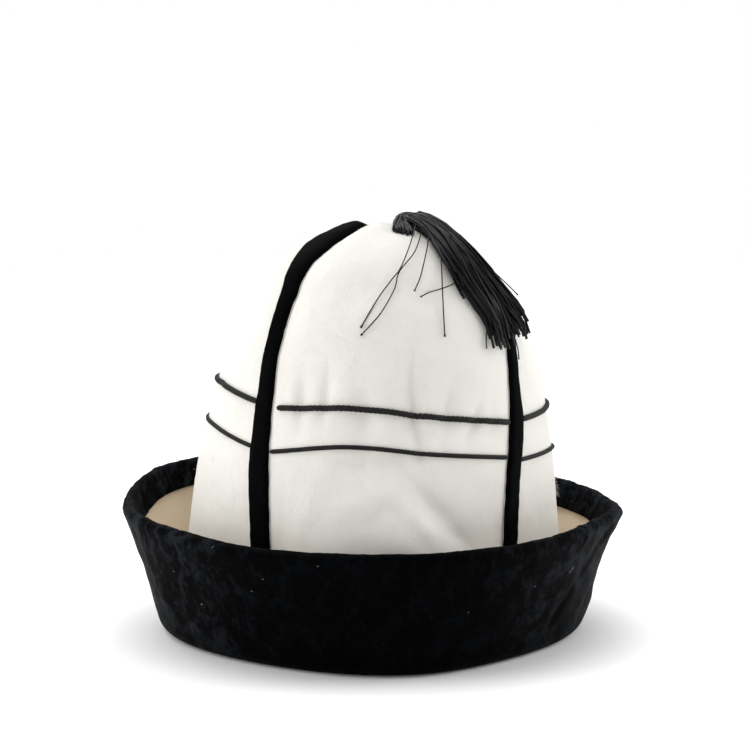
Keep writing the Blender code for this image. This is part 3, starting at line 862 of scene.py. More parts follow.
# %% Cord and thread
THREAD_FINISH = {
    "Roughness": 0.62,
    "Specular IOR Level": 0.15,
    "Sheen Weight": 0.012,
    "Sheen Roughness": 0.5,
}
SILK_FINISH = {
    "Roughness": 0.42,
    "Specular IOR Level": 0.19,
    "Sheen Weight": 0.01,
    "Sheen Roughness": 0.4,
}
black_cord = new_look(
    "Black twisted cord",
    THREAD,
    {"Fineness": 1.0},
    mask="Shade",
    tint=(0.025, 0.024, 0.023),
    dark=(0.0045, 0.0042, 0.0038),
    light=(0.0155, 0.0145, 0.0133),
    bump=0.5,
    depth=0.00020,
    finish=THREAD_FINISH,
)
black_thread = new_look(
    "Black tassel thread",
    THREAD,
    {"Fineness": 1.3},
    mask="Shade",
    tint=(0.012, 0.012, 0.013),
    dark=(0.0008, 0.0008, 0.0010),
    light=(0.0050, 0.0048, 0.0050),
    bump=0.35,
    depth=0.00012,
    finish=SILK_FINISH,
)
wool_lint = new_look(
    "Wool lint",
    WOOL,
    {"Fineness": 1.5},
    mask="Cloud",
    tint=(0.7, 0.7, 0.66),
    dark=(0.11, 0.11, 0.10),
    light=(0.24, 0.23, 0.22),
    bump=0.2,
    depth=0.0001,
    finish=FELT_FINISH,
)
print("materials", [made.name for made in bpy.data.materials])

# %% [markdown]
# ## The felt gores
# Each gore is one piece of felt three millimetres thick, cut like a leaf and sewn to its neighbours.
# The front and back gores overlie the others a little, so their edges roll in, while the side gores lie
# flatter because the velvet strips are sewn over their edges.

# %% Gores
GORE_COLUMNS = 76
GORE_ROWS = 130
APEX_WAY = 0.9995
EDGE_CROWDING = 0.55  # how much closer the columns lie at a gore's edges
WIDEST_MARGIN = 0.2  # of a gore's width, which counts only near the apex
FOOT_ROLL = FELT / 3
ROLL = {"front": 0.0008, "right": 0.0004, "back": 0.0008, "left": 0.0004}


def rolled(distance, roll):
    """How far a rounded edge has sunk at that distance from it."""
    if distance >= roll:
        return 0.0
    return roll - math.sqrt(roll * roll - (roll - distance) ** 2)


def gore_faces(gore):
    """Rows of points on the outer and inner faces of a gore."""
    outer, inner = [], []
    roll = ROLL[GORES[gore]]
    for row in range(GORE_ROWS + 1):
        way = APEX_WAY * row / GORE_ROWS
        width = gore_width(gore, way)
        margin = min(SEAM_GAP / 2 / width, WIDEST_MARGIN)
        faces = ([], [])
        for column in range(GORE_COLUMNS + 1):
            even = column / GORE_COLUMNS
            across = even + EDGE_CROWDING * ((1 - math.cos(math.pi * even)) / 2 - even)
            across = margin + (1 - 2 * margin) * across
            edge = min(across, 1 - across) * width
            sunk = rolled(edge, min(roll, width / 3)) + rolled(way * SIDE_LENGTH, FOOT_ROLL)
            faces[0].append(on_gore(gore, across, way, -sunk))
            faces[1].append(on_gore(gore, across, way, sunk - FELT))
        outer.append(faces[0])
        inner.append(faces[1])
    return outer, inner


gores = {}
for number, side in enumerate(GORES):
    build = shell(*gore_faces(number))
    node = f"crown_gore_{side}"
    gores[side] = make_piece(f"felt_gore_{side}", build, white_felt, "felt_white", node)

# %% [markdown]
# Some small things below lie where the photograph shows them, such as loose threads and lint. For those,
# a line of sight from the camera through a pixel is followed to the spot where it meets the cloth.

# %% Where a line of sight meets a piece
def trees_of(pieces):
    """What Blender needs to find where a ray meets each of the pieces."""
    found = []
    for piece in pieces:
        mesh = piece.data
        polygons = [tuple(polygon.vertices) for polygon in mesh.polygons]
        found.append(BVHTree.FromPolygons([vertex.co for vertex in mesh.vertices], polygons))
    return found


def nearest_hit(trees, start, direction):
    """The first point and its normal that a ray meets, or None."""
    hits = [tree.ray_cast(start, direction) for tree in trees]
    hits = [hit for hit in hits if hit[0] is not None]
    return min(hits, key=lambda hit: hit[3])[:2] if hits else None


felt_trees = trees_of(gores.values())

# %% [markdown]
# ## The velvet strips
# A strip is a folded velvet ribbon, about a centimetre wide, sewn down over a seam. It is a loft of
# many sections along the seam: flat below, soft and rounded above, with edges that waver slightly.

# %% Seam strips
STRIP_ROWS = 150
STRIP_POINTS = 13  # over a strip's upper face
STRIP_SEAT = 0.00005
STRIP_WAVER = 0.00030  # how far a strip's edges wander
WAVERS_UP = 45  # along the crown's side
STRIP_END = 0.3  # share of the thickness that is left at a strip's ends
FOOT_ROWS = 3.75  # rows over which it grows to full thickness at its foot, and at its top
TOP_ROWS = 5
STRIP_CREST = 5  # the higher, the flatter a strip's middle
STRIP_SHOULDER = 0.4  # the lower, the steeper its edges
RIBBON_GRAIN = 0.00012
GRAINS_UP = 320
GRAINS_ACROSS = 6
UNDER_POINTS = (0.9, 0.5, 0.1)


def strip_side(seam):
    """1 where a seam's strip lies on the gore after the seam, and -1 where it lies on the one before it."""
    return 1 if GORES[seam % len(GORES)] in ("right", "left") else -1


def strip_width(seam, way):
    """The width of a seam's strip, that way up the crown's side."""
    return STRIP_WIDTH * row_at(STRIP_WIDTHS, way)[seam % len(SEAM_NAMES)]


def strip_rings(seam):
    """Sections of a strip from its foot to its top, each over its upper face and back under it."""
    rings = []
    for row in range(STRIP_ROWS + 1):
        way = STRIP_BOTTOM + (STRIP_TOP - STRIP_BOTTOM) * row / STRIP_ROWS
        width = strip_width(seam, way)
        end = min(1.0, row / FOOT_ROWS + STRIP_END, (STRIP_ROWS - row) / TOP_ROWS + STRIP_END)
        waver = [STRIP_WAVER * noise.noise((way * WAVERS_UP, seam * 7 + side, 0.5)) for side in range(2)]
        ring = []
        for i in range(STRIP_POINTS):
            across = (1 - math.cos(math.pi * i / (STRIP_POINTS - 1))) / 2
            bulge = (1 - abs(2 * across - 1) ** STRIP_CREST) ** STRIP_SHOULDER
            height = (STRIP_THICKNESS + SEAT) * bulge * end
            ring.append((across, height))
        ring += [(across, 0.0) for across in UNDER_POINTS]
        points = []
        for across, height in ring:
            reach = SEAM_GAP / 2 + width * across + waver[0] * (1 - across) + waver[1] * across
            azimuth = seam_azimuth(seam, way) + math.degrees(strip_side(seam) * reach / meridian(way)[0])
            if height:
                height += RIBBON_GRAIN * noise.noise((way * GRAINS_UP, across * GRAINS_ACROSS, seam))
            points.append(on_crown(azimuth, way, STRIP_SEAT + height))
        rings.append(points if strip_side(seam) > 0 else points[::-1])
    return rings


for number, seam_name in enumerate(SEAM_NAMES):
    build = loft(strip_rings(number))
    make_piece(f"velvet_strip_{seam_name}", build, ribbon_velvet, "velvet_black", f"seam_strip_{seam_name}")

# %% [markdown]
# ## The cords
# Two rows of cord are couched across the gores. Real cord is several strands laid round each other, and
# that twist is what makes it look like cord, so each length here is three strands that wind round a
# common path. The path follows the felt, and the ends are tucked in at the strips.

# %% Cords
CORD_STRANDS = 3
CORD_SIDES = 7
TWISTS_PER_WIDTH = 0.42
CORD_STEPS_PER_TWIST = 10
CORD_TUCK = 0.0003
CORD_START_GAP = {"upper": 0.0036, "lower": 0.0006}  # from the front gore's left seam
CORD_SINK = 0.00025  # the cord's thread pulls it this far into the felt
# Shares of a cord's width.
STRAND_RADIUS = 0.262
STRAND_ASIDE = 0.235  # how far a strand winds to each side of the cord's middle
STRAND_RISE = 0.13  # and above and below it
CORD_MIDDLE = 0.36  # height of that middle over the felt
END_WINDING = 0.35  # share of the winding that is left at a cord's ends
END_RADIUS = 0.55  # and of the strands' radius
END_SHARPNESS = 60
HIGHEST_CORD_WAY = 0.8
HALVINGS = 40


def way_at_height(height):
    """How far up its side the crown has a height."""
    low, high = 0.0, HIGHEST_CORD_WAY
    for _ in range(HALVINGS):
        middle = (low + high) / 2
        low, high = (middle, high) if meridian(middle)[1] < height else (low, middle)
    return low


def cord_ends(gore_name, row, gore, way):
    """How far a cord's two ends stay from the seams beside its gore."""
    if gore_name in ("right", "left"):
        return [strip_width(seam, way) - CORD_TUCK for seam in (gore, gore + 1)]
    return [CORD_START_GAP[row], CORD_TUCK]


def strand_share(share):
    """A strand's radius as a share of its cord's width. It is tucked in at both ends."""
    return STRAND_RADIUS * min(1.0, END_RADIUS + min(share, 1 - share) * END_SHARPNESS)


def cord_place(gore_name, row, ways, share):
    """How far across its gore and how far up the crown's side a cord lies, that share along it."""
    gore = GORES.index(gore_name)
    way = row_at(ways, share)[0]
    width = gore_width(gore, way)
    before, after = cord_ends(gore_name, row, gore, way)
    return (before + (width - before - after) * share) / width, way


def cord_build(gore_name, row, heights):
    """Points and faces of a cord's strands, and the length of its middle line."""
    gore = GORES.index(gore_name)
    size = UPPER_CORD if row == "upper" else LOWER_CORD
    last = len(heights) - 1
    ways = [(i / last, way_at_height(CROWN_HEIGHT * height)) for i, height in enumerate(heights)]
    width = gore_width(gore, ways[1][1])
    twists = width * TWISTS_PER_WIDTH / size
    steps = int(twists * CORD_STEPS_PER_TWIST)
    places = [cord_place(gore_name, row, ways, step / steps) for step in range(steps + 1)]
    middle_lift = size * CORD_MIDDLE - CORD_SINK
    build = ([], [])
    for strand in range(CORD_STRANDS):
        points = []
        for step, (across, way) in enumerate(places):
            share = step / steps
            turn = 2 * math.pi * (twists * share + strand / CORD_STRANDS)
            taper = min(1.0, END_WINDING + min(share, 1 - share) * width / size)
            aside = math.sin(turn) * size * STRAND_ASIDE * taper
            lift = middle_lift + math.cos(turn) * size * STRAND_RISE * taper
            points.append(on_gore(gore, across, way + aside / SIDE_LENGTH, lift))
        tube(points, lambda s: size * strand_share(s), CORD_SIDES, build)
    middle = [on_gore(gore, across, way, middle_lift) for across, way in places]
    return build, sum((b - a).length for a, b in zip(middle, middle[1:]))


for gore_name, row, *heights in CORDS:
    build, length = cord_build(gore_name, row, heights)
    node = f"cord_{row}_{gore_name}"
    make_piece(f"twisted_cord_{row}_{gore_name}", build, black_cord, "cord_black", node)
    print("  about", round(length * 1000), "mm long")

# %% [markdown]
# ## The brim
# The brim is a band of cream felt that is folded out from under the crown and turned up. Only its inner
# face shows, down in the trough between brim and crown.

# %% Brim felt
BRIM_STATIONS = 400
PUCKER = 0.00035
PUCKERS = 90  # to a metre
CREASE_AZIMUTH = 262.0
CREASE_WIDTH = 3.0  # half of it, in degrees
CREASE_DEPTH = 0.0006


def to_world(azimuth, point):
    """A point of the brim's section, set at an azimuth."""
    return around(azimuth, point.x, point.y) - MIDDLE


def brim_rows(face, velvet, relief):
    """Rows of points round the brim, each moved out along the section's normal by relief(azimuth, share,
    place)."""
    stations = []
    for station in range(BRIM_STATIONS):
        azimuth = 360.0 * station / BRIM_STATIONS
        section = brim_section(azimuth, face, velvet)
        last = len(section) - 1
        column = []
        for i, point in enumerate(section):
            run = section[min(i + 1, last)] - section[max(i - 1, 0)]
            out = Vector((run.y, -run.x)).normalized()
            moved = point + out * relief(azimuth, i / last, to_world(azimuth, point))
            moved.y = max(moved.y, 0.0)
            column.append(to_world(azimuth, moved))
        stations.append(column)
    return [list(row) for row in zip(*stations)]


def felt_relief(azimuth, share, place):
    """Soft swells on the inner face, and a slight upright crease on the left, over the upper part."""
    crease = math.exp(-(((azimuth - CREASE_AZIMUTH) / CREASE_WIDTH) ** 2)) * eased(share * 3 - 1)
    return PUCKER * noise.noise(place * PUCKERS) - CREASE_DEPTH * crease


def flat(azimuth, share, place):
    """No relief."""
    return 0.0


inside = brim_rows(-BRIM_FELT / 2, False, felt_relief)
outside = brim_rows(BRIM_FELT / 2, False, flat)
make_piece("brim_band", shell(outside, inside, True), cream_felt, "felt_cream", "brim_felt")

# %% [markdown]
# The crushed velvet over it is worked the same way, with more relief. Its pile is pressed over in
# patches, it gathers in small upright ribs where the brim turns round the two sides, and it is drawn
# into a few slanting folds there. Below it stays flat on the surface that the hat stands on.

# %% Brim velvet
CRUSH = 0.00050
CRUSH_WAVES = (62, 165)  # to a metre, the broad ones and the small ones on them
SMALL_CRUSH = 0.7  # height of the small ones as a share of the broad ones'
FRONT_RELIEF = 0.55  # share of the crushing that is left in front and behind
RIB = 0.00040
RIBS_ROUND = 118
RIBS_UP = 14
RIBS_START = 0.55  # share up the section at which the ribs begin, and the share over which they grow
RIBS_GROW = 0.15
FRONT_RIBS = 0.25  # share of the ribs that is left in front and behind
FLAT_BELOW = 0.0005  # the velvet is flat up to here, and its relief is full this much higher
RELIEF_GROW = 0.008
BACKING_GAP = 0.0001
FOLD_REACH = 3  # half widths from its middle beyond which a fold counts as flat
FOLD_OVERRUN = 1.25  # a fold fades in over its first third and out by a quarter past its end
# Columns: azimuth at the rim, azimuth at the foot, half width in degrees, share up the section from and
# to, depth. The section runs from 0 under the crown, 0.75 at the rim, to 1 at the hem.
VELVET_FOLDS = (
    (293.0, 297.0, 2.0, 0.34, 0.62, -0.0007),
    (300.0, 309.0, 3.0, 0.22, 0.56, -0.0005),
    (72.0, 47.0, 2.2, 0.30, 0.68, -0.0013),
    (84.0, 68.0, 2.6, 0.26, 0.70, -0.0009),
    (12.0, 4.0, 3.4, 0.26, 0.52, -0.0005),
    (340.0, 347.0, 3.4, 0.26, 0.55, -0.0005),
    (104.0, 98.0, 2.2, 0.30, 0.62, -0.0009),
    (150.0, 158.0, 3.0, 0.28, 0.58, -0.0008),
    (201.0, 195.0, 3.0, 0.28, 0.60, -0.0008),
    (238.0, 246.0, 2.6, 0.30, 0.60, -0.0009),
    (262.0, 258.0, 2.2, 0.30, 0.62, -0.0009),
)
SIDE_SLOPE = 1.6
SIDE_ONSET = 0.75


def side_share(azimuth):
    """Nearly 1 at the two sides of the brim, where it turns most, and 0 in front and behind."""
    return eased(SIDE_SLOPE * abs(math.sin(math.radians(azimuth))) - SIDE_ONSET)


def velvet_relief(azimuth, share, place):
    """The crushed patches, the ribs at the two sides and the slanting folds."""
    broad, small = CRUSH_WAVES
    settled = eased((place.z - FLAT_BELOW) / RELIEF_GROW)
    crush = noise.noise(place * broad) + SMALL_CRUSH * noise.noise(place * small + Vector((3.0, 0.0, 0.0)))
    depth = CRUSH * crush * (FRONT_RELIEF + (1 - FRONT_RELIEF) * side_share(azimuth))
    rib_place = Vector((math.radians(azimuth) * RIBS_ROUND / 2, place.z * RIBS_UP, 0.0))
    ribs = noise.noise(rib_place) * eased((share - RIBS_START) / RIBS_GROW)
    depth += RIB * 2 * ribs * (FRONT_RIBS + (1 - FRONT_RIBS) * side_share(azimuth))
    for rim, foot, half_width, low, high, lift in VELVET_FOLDS:
        up = (share - low) / (high - low)
        middle = foot + (rim - foot) * up
        beside = ((azimuth - middle + 180.0) % 360.0 - 180.0) / half_width
        if abs(beside) < FOLD_REACH:
            depth += lift * math.exp(-beside * beside) * eased(up * 3) * eased((FOLD_OVERRUN - up) * 3)
    return depth * settled


cover = brim_rows(WRAP, True, velvet_relief)
backing = brim_rows(BRIM_FELT / 2 + BACKING_GAP, True, flat)
make_piece("velvet_cover", shell(cover, backing, True), crushed_velvet, "velvet_black", "brim_velvet")

# %% [markdown]
# ## The tassel
# The tassel is a bundle of black threads, bound near one end and sewn to the crown's top by it. The
# threads fall over the right of the crown in loose locks. Each thread is a tube that starts at the
# head's tip, passes under the binding, and follows one lock of the solid tassel, on its rim or inside.
# The other ends of the threads are looped, and the loops lie forward over the crest of the crown.

# %% Where the tassel lies
SKIRT_STEPS = 15
HEAD_AZIMUTH = TASSEL_LAY[0][1]
HEAD_DROOP = Vector((0.0030, -0.0120, -0.0085))  # how far the tip hangs forward and down
HEAD_SINK = 0.0018  # the soft head settles onto the ends of the strips
NECK_SPREAD = 0.0045  # how far the front locks spread forward below the head
NECK_FADE = 2.2  # the higher, the sooner that spread ends down a lock
LOCK_START = 0.2  # of the head's length, from the tassel's root
LOCK_TOP_SIZE = 0.75  # a lock's size at its top, and how much it thins in its last quarter
LOCK_THINNING = 0.25
# Shares of the head's half length and of its girth.
WAIST_PLACE = -0.18
WAIST_LENGTH = 0.14
WAIST_DEPTH = 0.14
LEAST_GIRTH = 0.03
# How much further each lock's threads reach than its solid.
LOCK_REACH = (0.80, 1.06, 1.08, 1.04, 1.03, 1.00, 1.01, 0.99, 1.00)


def tassel_point(share, offset, lift):
    """A point over the crown, a share of the tassel's length from the top and offset beside its middle."""
    way = 1 - share * TASSEL_LENGTH / SIDE_LENGTH
    radius = max(meridian(way)[0], HEAD_LENGTH / 2)
    azimuth = row_at(TASSEL_LAY, min(share, 1.0))[0] + math.degrees(offset / radius)
    past_seam = math.radians(azimuth - seam_azimuth(1, way)) * radius
    over_strip = (STRIP_THICKNESS + SEAT) * eased(1 + past_seam / RISE)
    return on_crown(azimuth, way, SEAT + over_strip + lift)


def lock_point(lock, share, beside, above):
    """A point in a lock's oval section, beside and above being from -1 to 1."""
    across, width, height, length = LOCKS[lock]
    start = (TASSEL_ROOT + LOCK_START * HEAD_LENGTH) / TASSEL_LENGTH
    down = start + (length - start) * share
    spread = TASSEL_NECK + (TASSEL_WIDTH - TASSEL_NECK) * eased(down)
    size = min(1.0, LOCK_TOP_SIZE + share) * (1 - LOCK_THINNING * eased(share * 4 - 3))
    forward = NECK_SPREAD * (1 - across) / 2 * (1 - eased(share * NECK_FADE))
    x = across * (spread - LOCK_WIDTH) / 2 + beside * LOCK_WIDTH * width * size / 2 - forward
    return tassel_point(down, x, (1 + above) * LOCK_HEIGHT * height * size / 2)


# The head rests on the highest of what lies under it.
root = on_crown(HEAD_AZIMUTH, 1 - TASSEL_ROOT / SIDE_LENGTH)
spots = [(azimuth, reach) for azimuth in range(0, 360, 30) for reach in (0.3, 0.8, 1.2, 1.6)]
under = max(on_crown(azimuth, 1 - TASSEL_ROOT * reach / SIDE_LENGTH).z for azimuth, reach in spots)
HEAD = Vector((root.x, root.y, under + SEAT + HEAD_LIFT + HEAD_HEIGHT / 2))
HEAD_RUN = around(HEAD_AZIMUTH, 1.0, 0.0)
HEAD_SIDE = HEAD_RUN.cross(Vector((0.0, 0.0, 1.0)))


def head_point(along, turn, swell=1.0):
    """A point on the head: along it from -1 at its tip to 1, and a turn round it, 0 being in front."""
    waist = 1 - WAIST_DEPTH * math.exp(-(((along - WAIST_PLACE) / WAIST_LENGTH) ** 2))
    girth = math.sqrt(max(1 - along * along, LEAST_GIRTH)) * swell * waist
    rise = math.sin(turn) * HEAD_HEIGHT / 2
    side = HEAD_SIDE * math.cos(turn) * HEAD_WIDTH / 2 + Vector((0.0, 0.0, rise))
    level = HEAD + HEAD_RUN * along * HEAD_LENGTH / 2 + side * girth
    return level + Vector((0.0, 0.0, -HEAD_SINK)) + HEAD_DROOP * min(along, 0.0) ** 2


print("head of the tassel at", [round(value, 4) for value in HEAD])


# %% Threads of the tassel
THREADS_PER_LOCK = 26
THREAD_RADIUS = 0.00052
THREAD_SIDES = 4
HEAD_STEPS = 6
RIM_CHANCE = 0.66  # share of the threads that lie on their lock's rim, and where they and the rest lie
ON_RIM = (0.86, 1.12)
INSIDE = (0.35, 0.90)
UNEVEN_ENDS = (-0.095, 0.050)
FIRST_LOCK_ENDS = 2.2  # the first lock's ends are this much more uneven
LOOSE_CHANCE = 0.35  # share of the threads that wind about more than the rest, in radians down a lock
LOOSE_WINDING = 3.4
WINDING = 1.2
MOST_FLARE = 0.40
MOST_RIPPLE = 0.22
HEAD_FAN = 1.25  # radians round the head from the middle lock to an outer one
HEAD_FAN_IN_LOCK = 0.22
HEAD_SWELL = 0.86  # share of the head's girth at which a thread passes through it
HEAD_SWELL_ABOVE = 0.10
HEAD_UNEVEN = 0.05
TIPS = (-0.99, -0.93)
HEAD_EXIT = 0.62
THREAD_WAVES = 9
draw = random.Random(11)


def knotted(radius, knot, start, length):
    """A thread's radius along it: even, with a small knot of fibre at its end."""
    return lambda share: radius * (1 + knot * eased((share - start) / length))


def thread_path(lock):
    """From the head's tip, through the head and down one lock."""
    angle = draw.uniform(0.0, 2 * math.pi)
    out = draw.uniform(*ON_RIM) if draw.random() < RIM_CHANCE else draw.uniform(*INSIDE)
    reach = LOCK_REACH[lock] * (1 + draw.uniform(*UNEVEN_ENDS) * (1 if lock else FIRST_LOCK_ENDS))
    winding = LOOSE_WINDING if draw.random() < LOOSE_CHANCE else WINDING
    wander = draw.uniform(-winding, winding)
    flare = draw.uniform(0.0, MOST_FLARE)
    ripple = draw.uniform(0.0, MOST_RIPPLE)
    beside, above = math.cos(angle) * out, math.sin(angle) * out
    turn = math.pi / 2 - LOCKS[lock][0] * HEAD_FAN + beside * HEAD_FAN_IN_LOCK
    swell = HEAD_SWELL + HEAD_SWELL_ABOVE * above + draw.uniform(-HEAD_UNEVEN, HEAD_UNEVEN)
    tip = draw.uniform(*TIPS)
    alongs = [tip + (HEAD_EXIT - tip) * i / HEAD_STEPS for i in range(HEAD_STEPS + 1)]
    path = [head_point(along, turn, swell) for along in alongs]
    for step in range(1, SKIRT_STEPS + 1):
        share = step / SKIRT_STEPS * reach
        twist = angle + wander * share
        wave = math.sin(share * THREAD_WAVES + angle * 3)
        loose = out * (1 + ripple * wave + flare * eased(share * 4 - 3))
        path.append(lock_point(lock, share, math.cos(twist) * loose, math.sin(twist) * loose))
    return path


# A core in each lock keeps light from showing between its threads.
CORE_SIZE = 0.72
CORE_SIDES = 8
CORE_START = 0.02
CORE_LENGTH = 0.93
CORE_SHORTER = 0.06

thread_size = knotted(THREAD_RADIUS, knot=0.30, start=0.965, length=0.03)
tassel_build = ([], [])
for lock in range(len(LOCKS)):
    core = []
    for step in range(SKIRT_STEPS + 1):
        share = CORE_START + CORE_LENGTH * min(LOCK_REACH[lock] - CORE_SHORTER, 1.0) * step / SKIRT_STEPS
        turns = [2 * math.pi * k / CORE_SIDES for k in range(CORE_SIDES)]
        ring = [(CORE_SIZE * math.sin(a), -CORE_SIZE * math.cos(a)) for a in turns]
        core.append([lock_point(lock, share, beside, above) for beside, above in ring])
    loft(core, tassel_build)
    for _ in range(THREADS_PER_LOCK):
        tube(thread_path(lock), thread_size, THREAD_SIDES, tassel_build)
print("threads in the tassel", len(LOCKS) * THREADS_PER_LOCK)

# %% Loops over the crest
# The loops end near these pixels of the photograph (column, row).
LOOP_ENDS = ((394.0, 230.5), (396.5, 232.0), (399.5, 233.0), (403.0, 233.5), (407.0, 234.0), (411.5, 234.5))
LOOPS_PER_END = 9
LOOP_COLUMNS = (-1.2, 1.4)  # how far from them, in pixels
LOOP_ROWS = (-2.2, 0.8)
LOOP_STARTS = (-0.80, 0.10)  # along the head, and in radians round it
LOOP_TURNS = (0.1, 1.5)
LOOP_SIZE = 0.9
LOOP_LIFT = (0.0003, 0.0024)  # over the felt
LOOP_RISE = (0.0006, 0.0018)
LOOP_TUCK = 0.0002
for column, row in LOOP_ENDS:
    for _ in range(LOOPS_PER_END):
        target = sight(column + draw.uniform(*LOOP_COLUMNS), row + draw.uniform(*LOOP_ROWS)).normalized()
        spot, normal = nearest_hit(felt_trees, EYE, target)
        start = head_point(draw.uniform(*LOOP_STARTS), draw.uniform(*LOOP_TURNS), LOOP_SIZE)
        end = spot + normal * draw.uniform(*LOOP_LIFT)
        over = (start + end) / 2 + Vector((0.0, 0.0, draw.uniform(*LOOP_RISE)))
        path = smooth_path([start, over, end, spot - normal * LOOP_TUCK], steps=5)
        tube(path, thread_size, THREAD_SIDES, tassel_build)
print("loops over the crest", len(LOOP_ENDS) * LOOPS_PER_END)

# %% The head's core and the binding
HEAD_SIDES = 12
HEAD_ROWS = 12
HEAD_FROM = -0.97  # along the head
HEAD_RUN_LENGTH = 1.9
HEAD_CORE_SIZE = 0.84
head_core = []
for step in range(HEAD_ROWS + 1):
    along = HEAD_FROM + HEAD_RUN_LENGTH * step / HEAD_ROWS
    turns = [2 * math.pi * k / HEAD_SIDES for k in range(HEAD_SIDES)]
    head_core.append([head_point(along, turn, HEAD_CORE_SIZE) for turn in turns])
loft([ring[::-1] for ring in head_core], tassel_build)

# The binding is a thread that winds round the head.
BINDING_TURNS = 5
BINDING_STEPS = 60
BINDING_SIDES = 5
BINDING_START = -0.30  # along the head
BINDING_LENGTH = 0.26
BINDING_SIZE = 1.06  # share of the head's girth
BINDING_RADIUS = 0.00038
binding = []
for step in range(BINDING_STEPS + 1):
    along = BINDING_START + BINDING_LENGTH * step / BINDING_STEPS
    turn = 2 * math.pi * BINDING_TURNS * step / BINDING_STEPS
    binding.append(head_point(along, turn, BINDING_SIZE))
tube(binding, lambda share: BINDING_RADIUS, BINDING_SIDES, tassel_build)
make_piece("tassel_threads", tassel_build, black_thread, "silk_black", "tassel")

# %% [markdown]
# ## Stray threads, wool fibres and lint
# A few threads have slipped out of the tassel and lie over the felt. They are laid along the
# places where the photograph shows them: a ray through each spot finds the felt, and the thread rests
# just above it. Loose wool fibres stand up from the felt all over, and a little of it lies on the velvet.

# %% Stray threads
STRAY_RADIUS = 0.00031
STRAY_SIDES = 5
STRAY_STEPS = 6
# Points along each thread, in pixels of the photograph (column, row), and its height over the felt at its
# start and end.
STRAYS = (
    (((414, 230), (409, 249), (400, 271), (392, 281), (378, 300), (361, 328)), 0.0030, 0.0007),
    (((421, 232), (414, 255), (399, 274), (394, 291), (380, 315), (361, 336)), 0.0028, 0.0009),
    (((427, 240), (425, 254), (422, 268), (419, 280), (414, 292)), 0.0030, 0.0012),
    (((438, 246), (439, 262), (440, 280), (442, 308), (444, 337)), 0.0030, 0.0010),
    (((427, 242), (441, 265), (455, 283), (463, 293), (473, 305)), 0.0026, 0.0020),
    (((464, 272), (461, 279), (455, 284), (447, 288), (438, 291), (428, 294), (420, 298)), 0.0032, 0.0012),
    (((484, 322), (484, 332), (484, 341), (485, 349)), 0.0022, 0.0012),
    (((494, 326), (494, 334), (495, 342), (496, 351)), 0.0030, 0.0030),
    (((508, 328), (510, 336), (513, 345), (515, 352), (516, 360)), 0.0028, 0.0018),
)
stray_size = knotted(STRAY_RADIUS, knot=0.9, start=0.97, length=0.02)
stray_build = ([], [])
for spots, above_start, above_end in STRAYS:
    path = []
    for i, (column, row) in enumerate(spots):
        found = nearest_hit(felt_trees, EYE, sight(column, row).normalized())
        if found:
            lift = above_start + (above_end - above_start) * i / (len(spots) - 1)
            path.append(found[0] + found[1] * lift)
    tube(smooth_path(path, STRAY_STEPS), stray_size, STRAY_SIDES, stray_build)

# Two stiff ends stand away from the tassel on its outer side, in the air beside the crown, as far from
# the camera as the outer locks are at this share of the tassel's length.
STIFF_ENDS = (((494, 272), (505, 282), (518, 295)), ((496, 275), (505, 287), (516, 304)))
STIFF_SHARE = 0.62
stiff_size = knotted(STRAY_RADIUS, knot=0.5, start=0.95, length=0.04)
distance = tassel_point(STIFF_SHARE, TASSEL_WIDTH / 4, LOCK_HEIGHT).y - EYE.y
for spots in STIFF_ENDS:
    path = [EYE + sight(*spot) * distance for spot in spots]
    tube(smooth_path(path, STRAY_STEPS), stiff_size, STRAY_SIDES, stray_build)
make_piece("stray_threads", stray_build, black_thread, "silk_black")

# %% Wool fibres on the felt
FIBRE_RADIUS = 0.000045
FIBRE_SIDES = 3
FIBRE_STEPS = 4
FIBRE_ROOT = 0.0002  # how deep in the felt a fibre starts
FIBRE_TAPER = 0.6
FIBRE_LEAN = 1.1
FIBRE_START_LEAN = 0.6
FIBRE_CURL = 0.55
FIBRE_DROOP = 0.18
FIBRES_PER_GORE = 1500
FIBRE_PLACES = (0.03, 0.97)  # across a gore
FIBRE_WAYS = (0.22, 0.985)  # up its side
FIBRE_LENGTHS = (0.0007, 0.0019)
NORMAL_STEP = 0.001
fibre_draw = random.Random(23)


def fibre(start, out, length, build):
    """A short hair that leaves the surface and curls over."""
    lean = Vector((fibre_draw.uniform(-1, 1), fibre_draw.uniform(-1, 1), fibre_draw.uniform(-1, 1)))
    lean = (lean - out * lean.dot(out)) * FIBRE_LEAN
    points = [start - out * FIBRE_ROOT]
    heading = (out + lean * FIBRE_START_LEAN).normalized()
    for _ in range(FIBRE_STEPS):
        points.append(points[-1] + heading * length / FIBRE_STEPS)
        heading = (heading + lean * FIBRE_CURL - out * FIBRE_DROOP).normalized()
    tube(points, lambda share: FIBRE_RADIUS * (1 - FIBRE_TAPER * share), FIBRE_SIDES, build)


# A brushed-up tuft stands on the right gore, over the brim.
TUFT_FIBRES = 110
TUFT_AZIMUTHS = (80.0, 98.0)
TUFT_WAYS = (0.235, 0.305)
TUFT_LENGTHS = (0.0010, 0.0026)
TUFT_SPREAD = (-0.5, 0.5)  # forward and back
TUFT_FALL = (-0.75, 0.05)  # down and up
TUFT_ARCH = Vector((0.0, 0.0, 0.0003))
TUFT_THICKNESS = 1.3


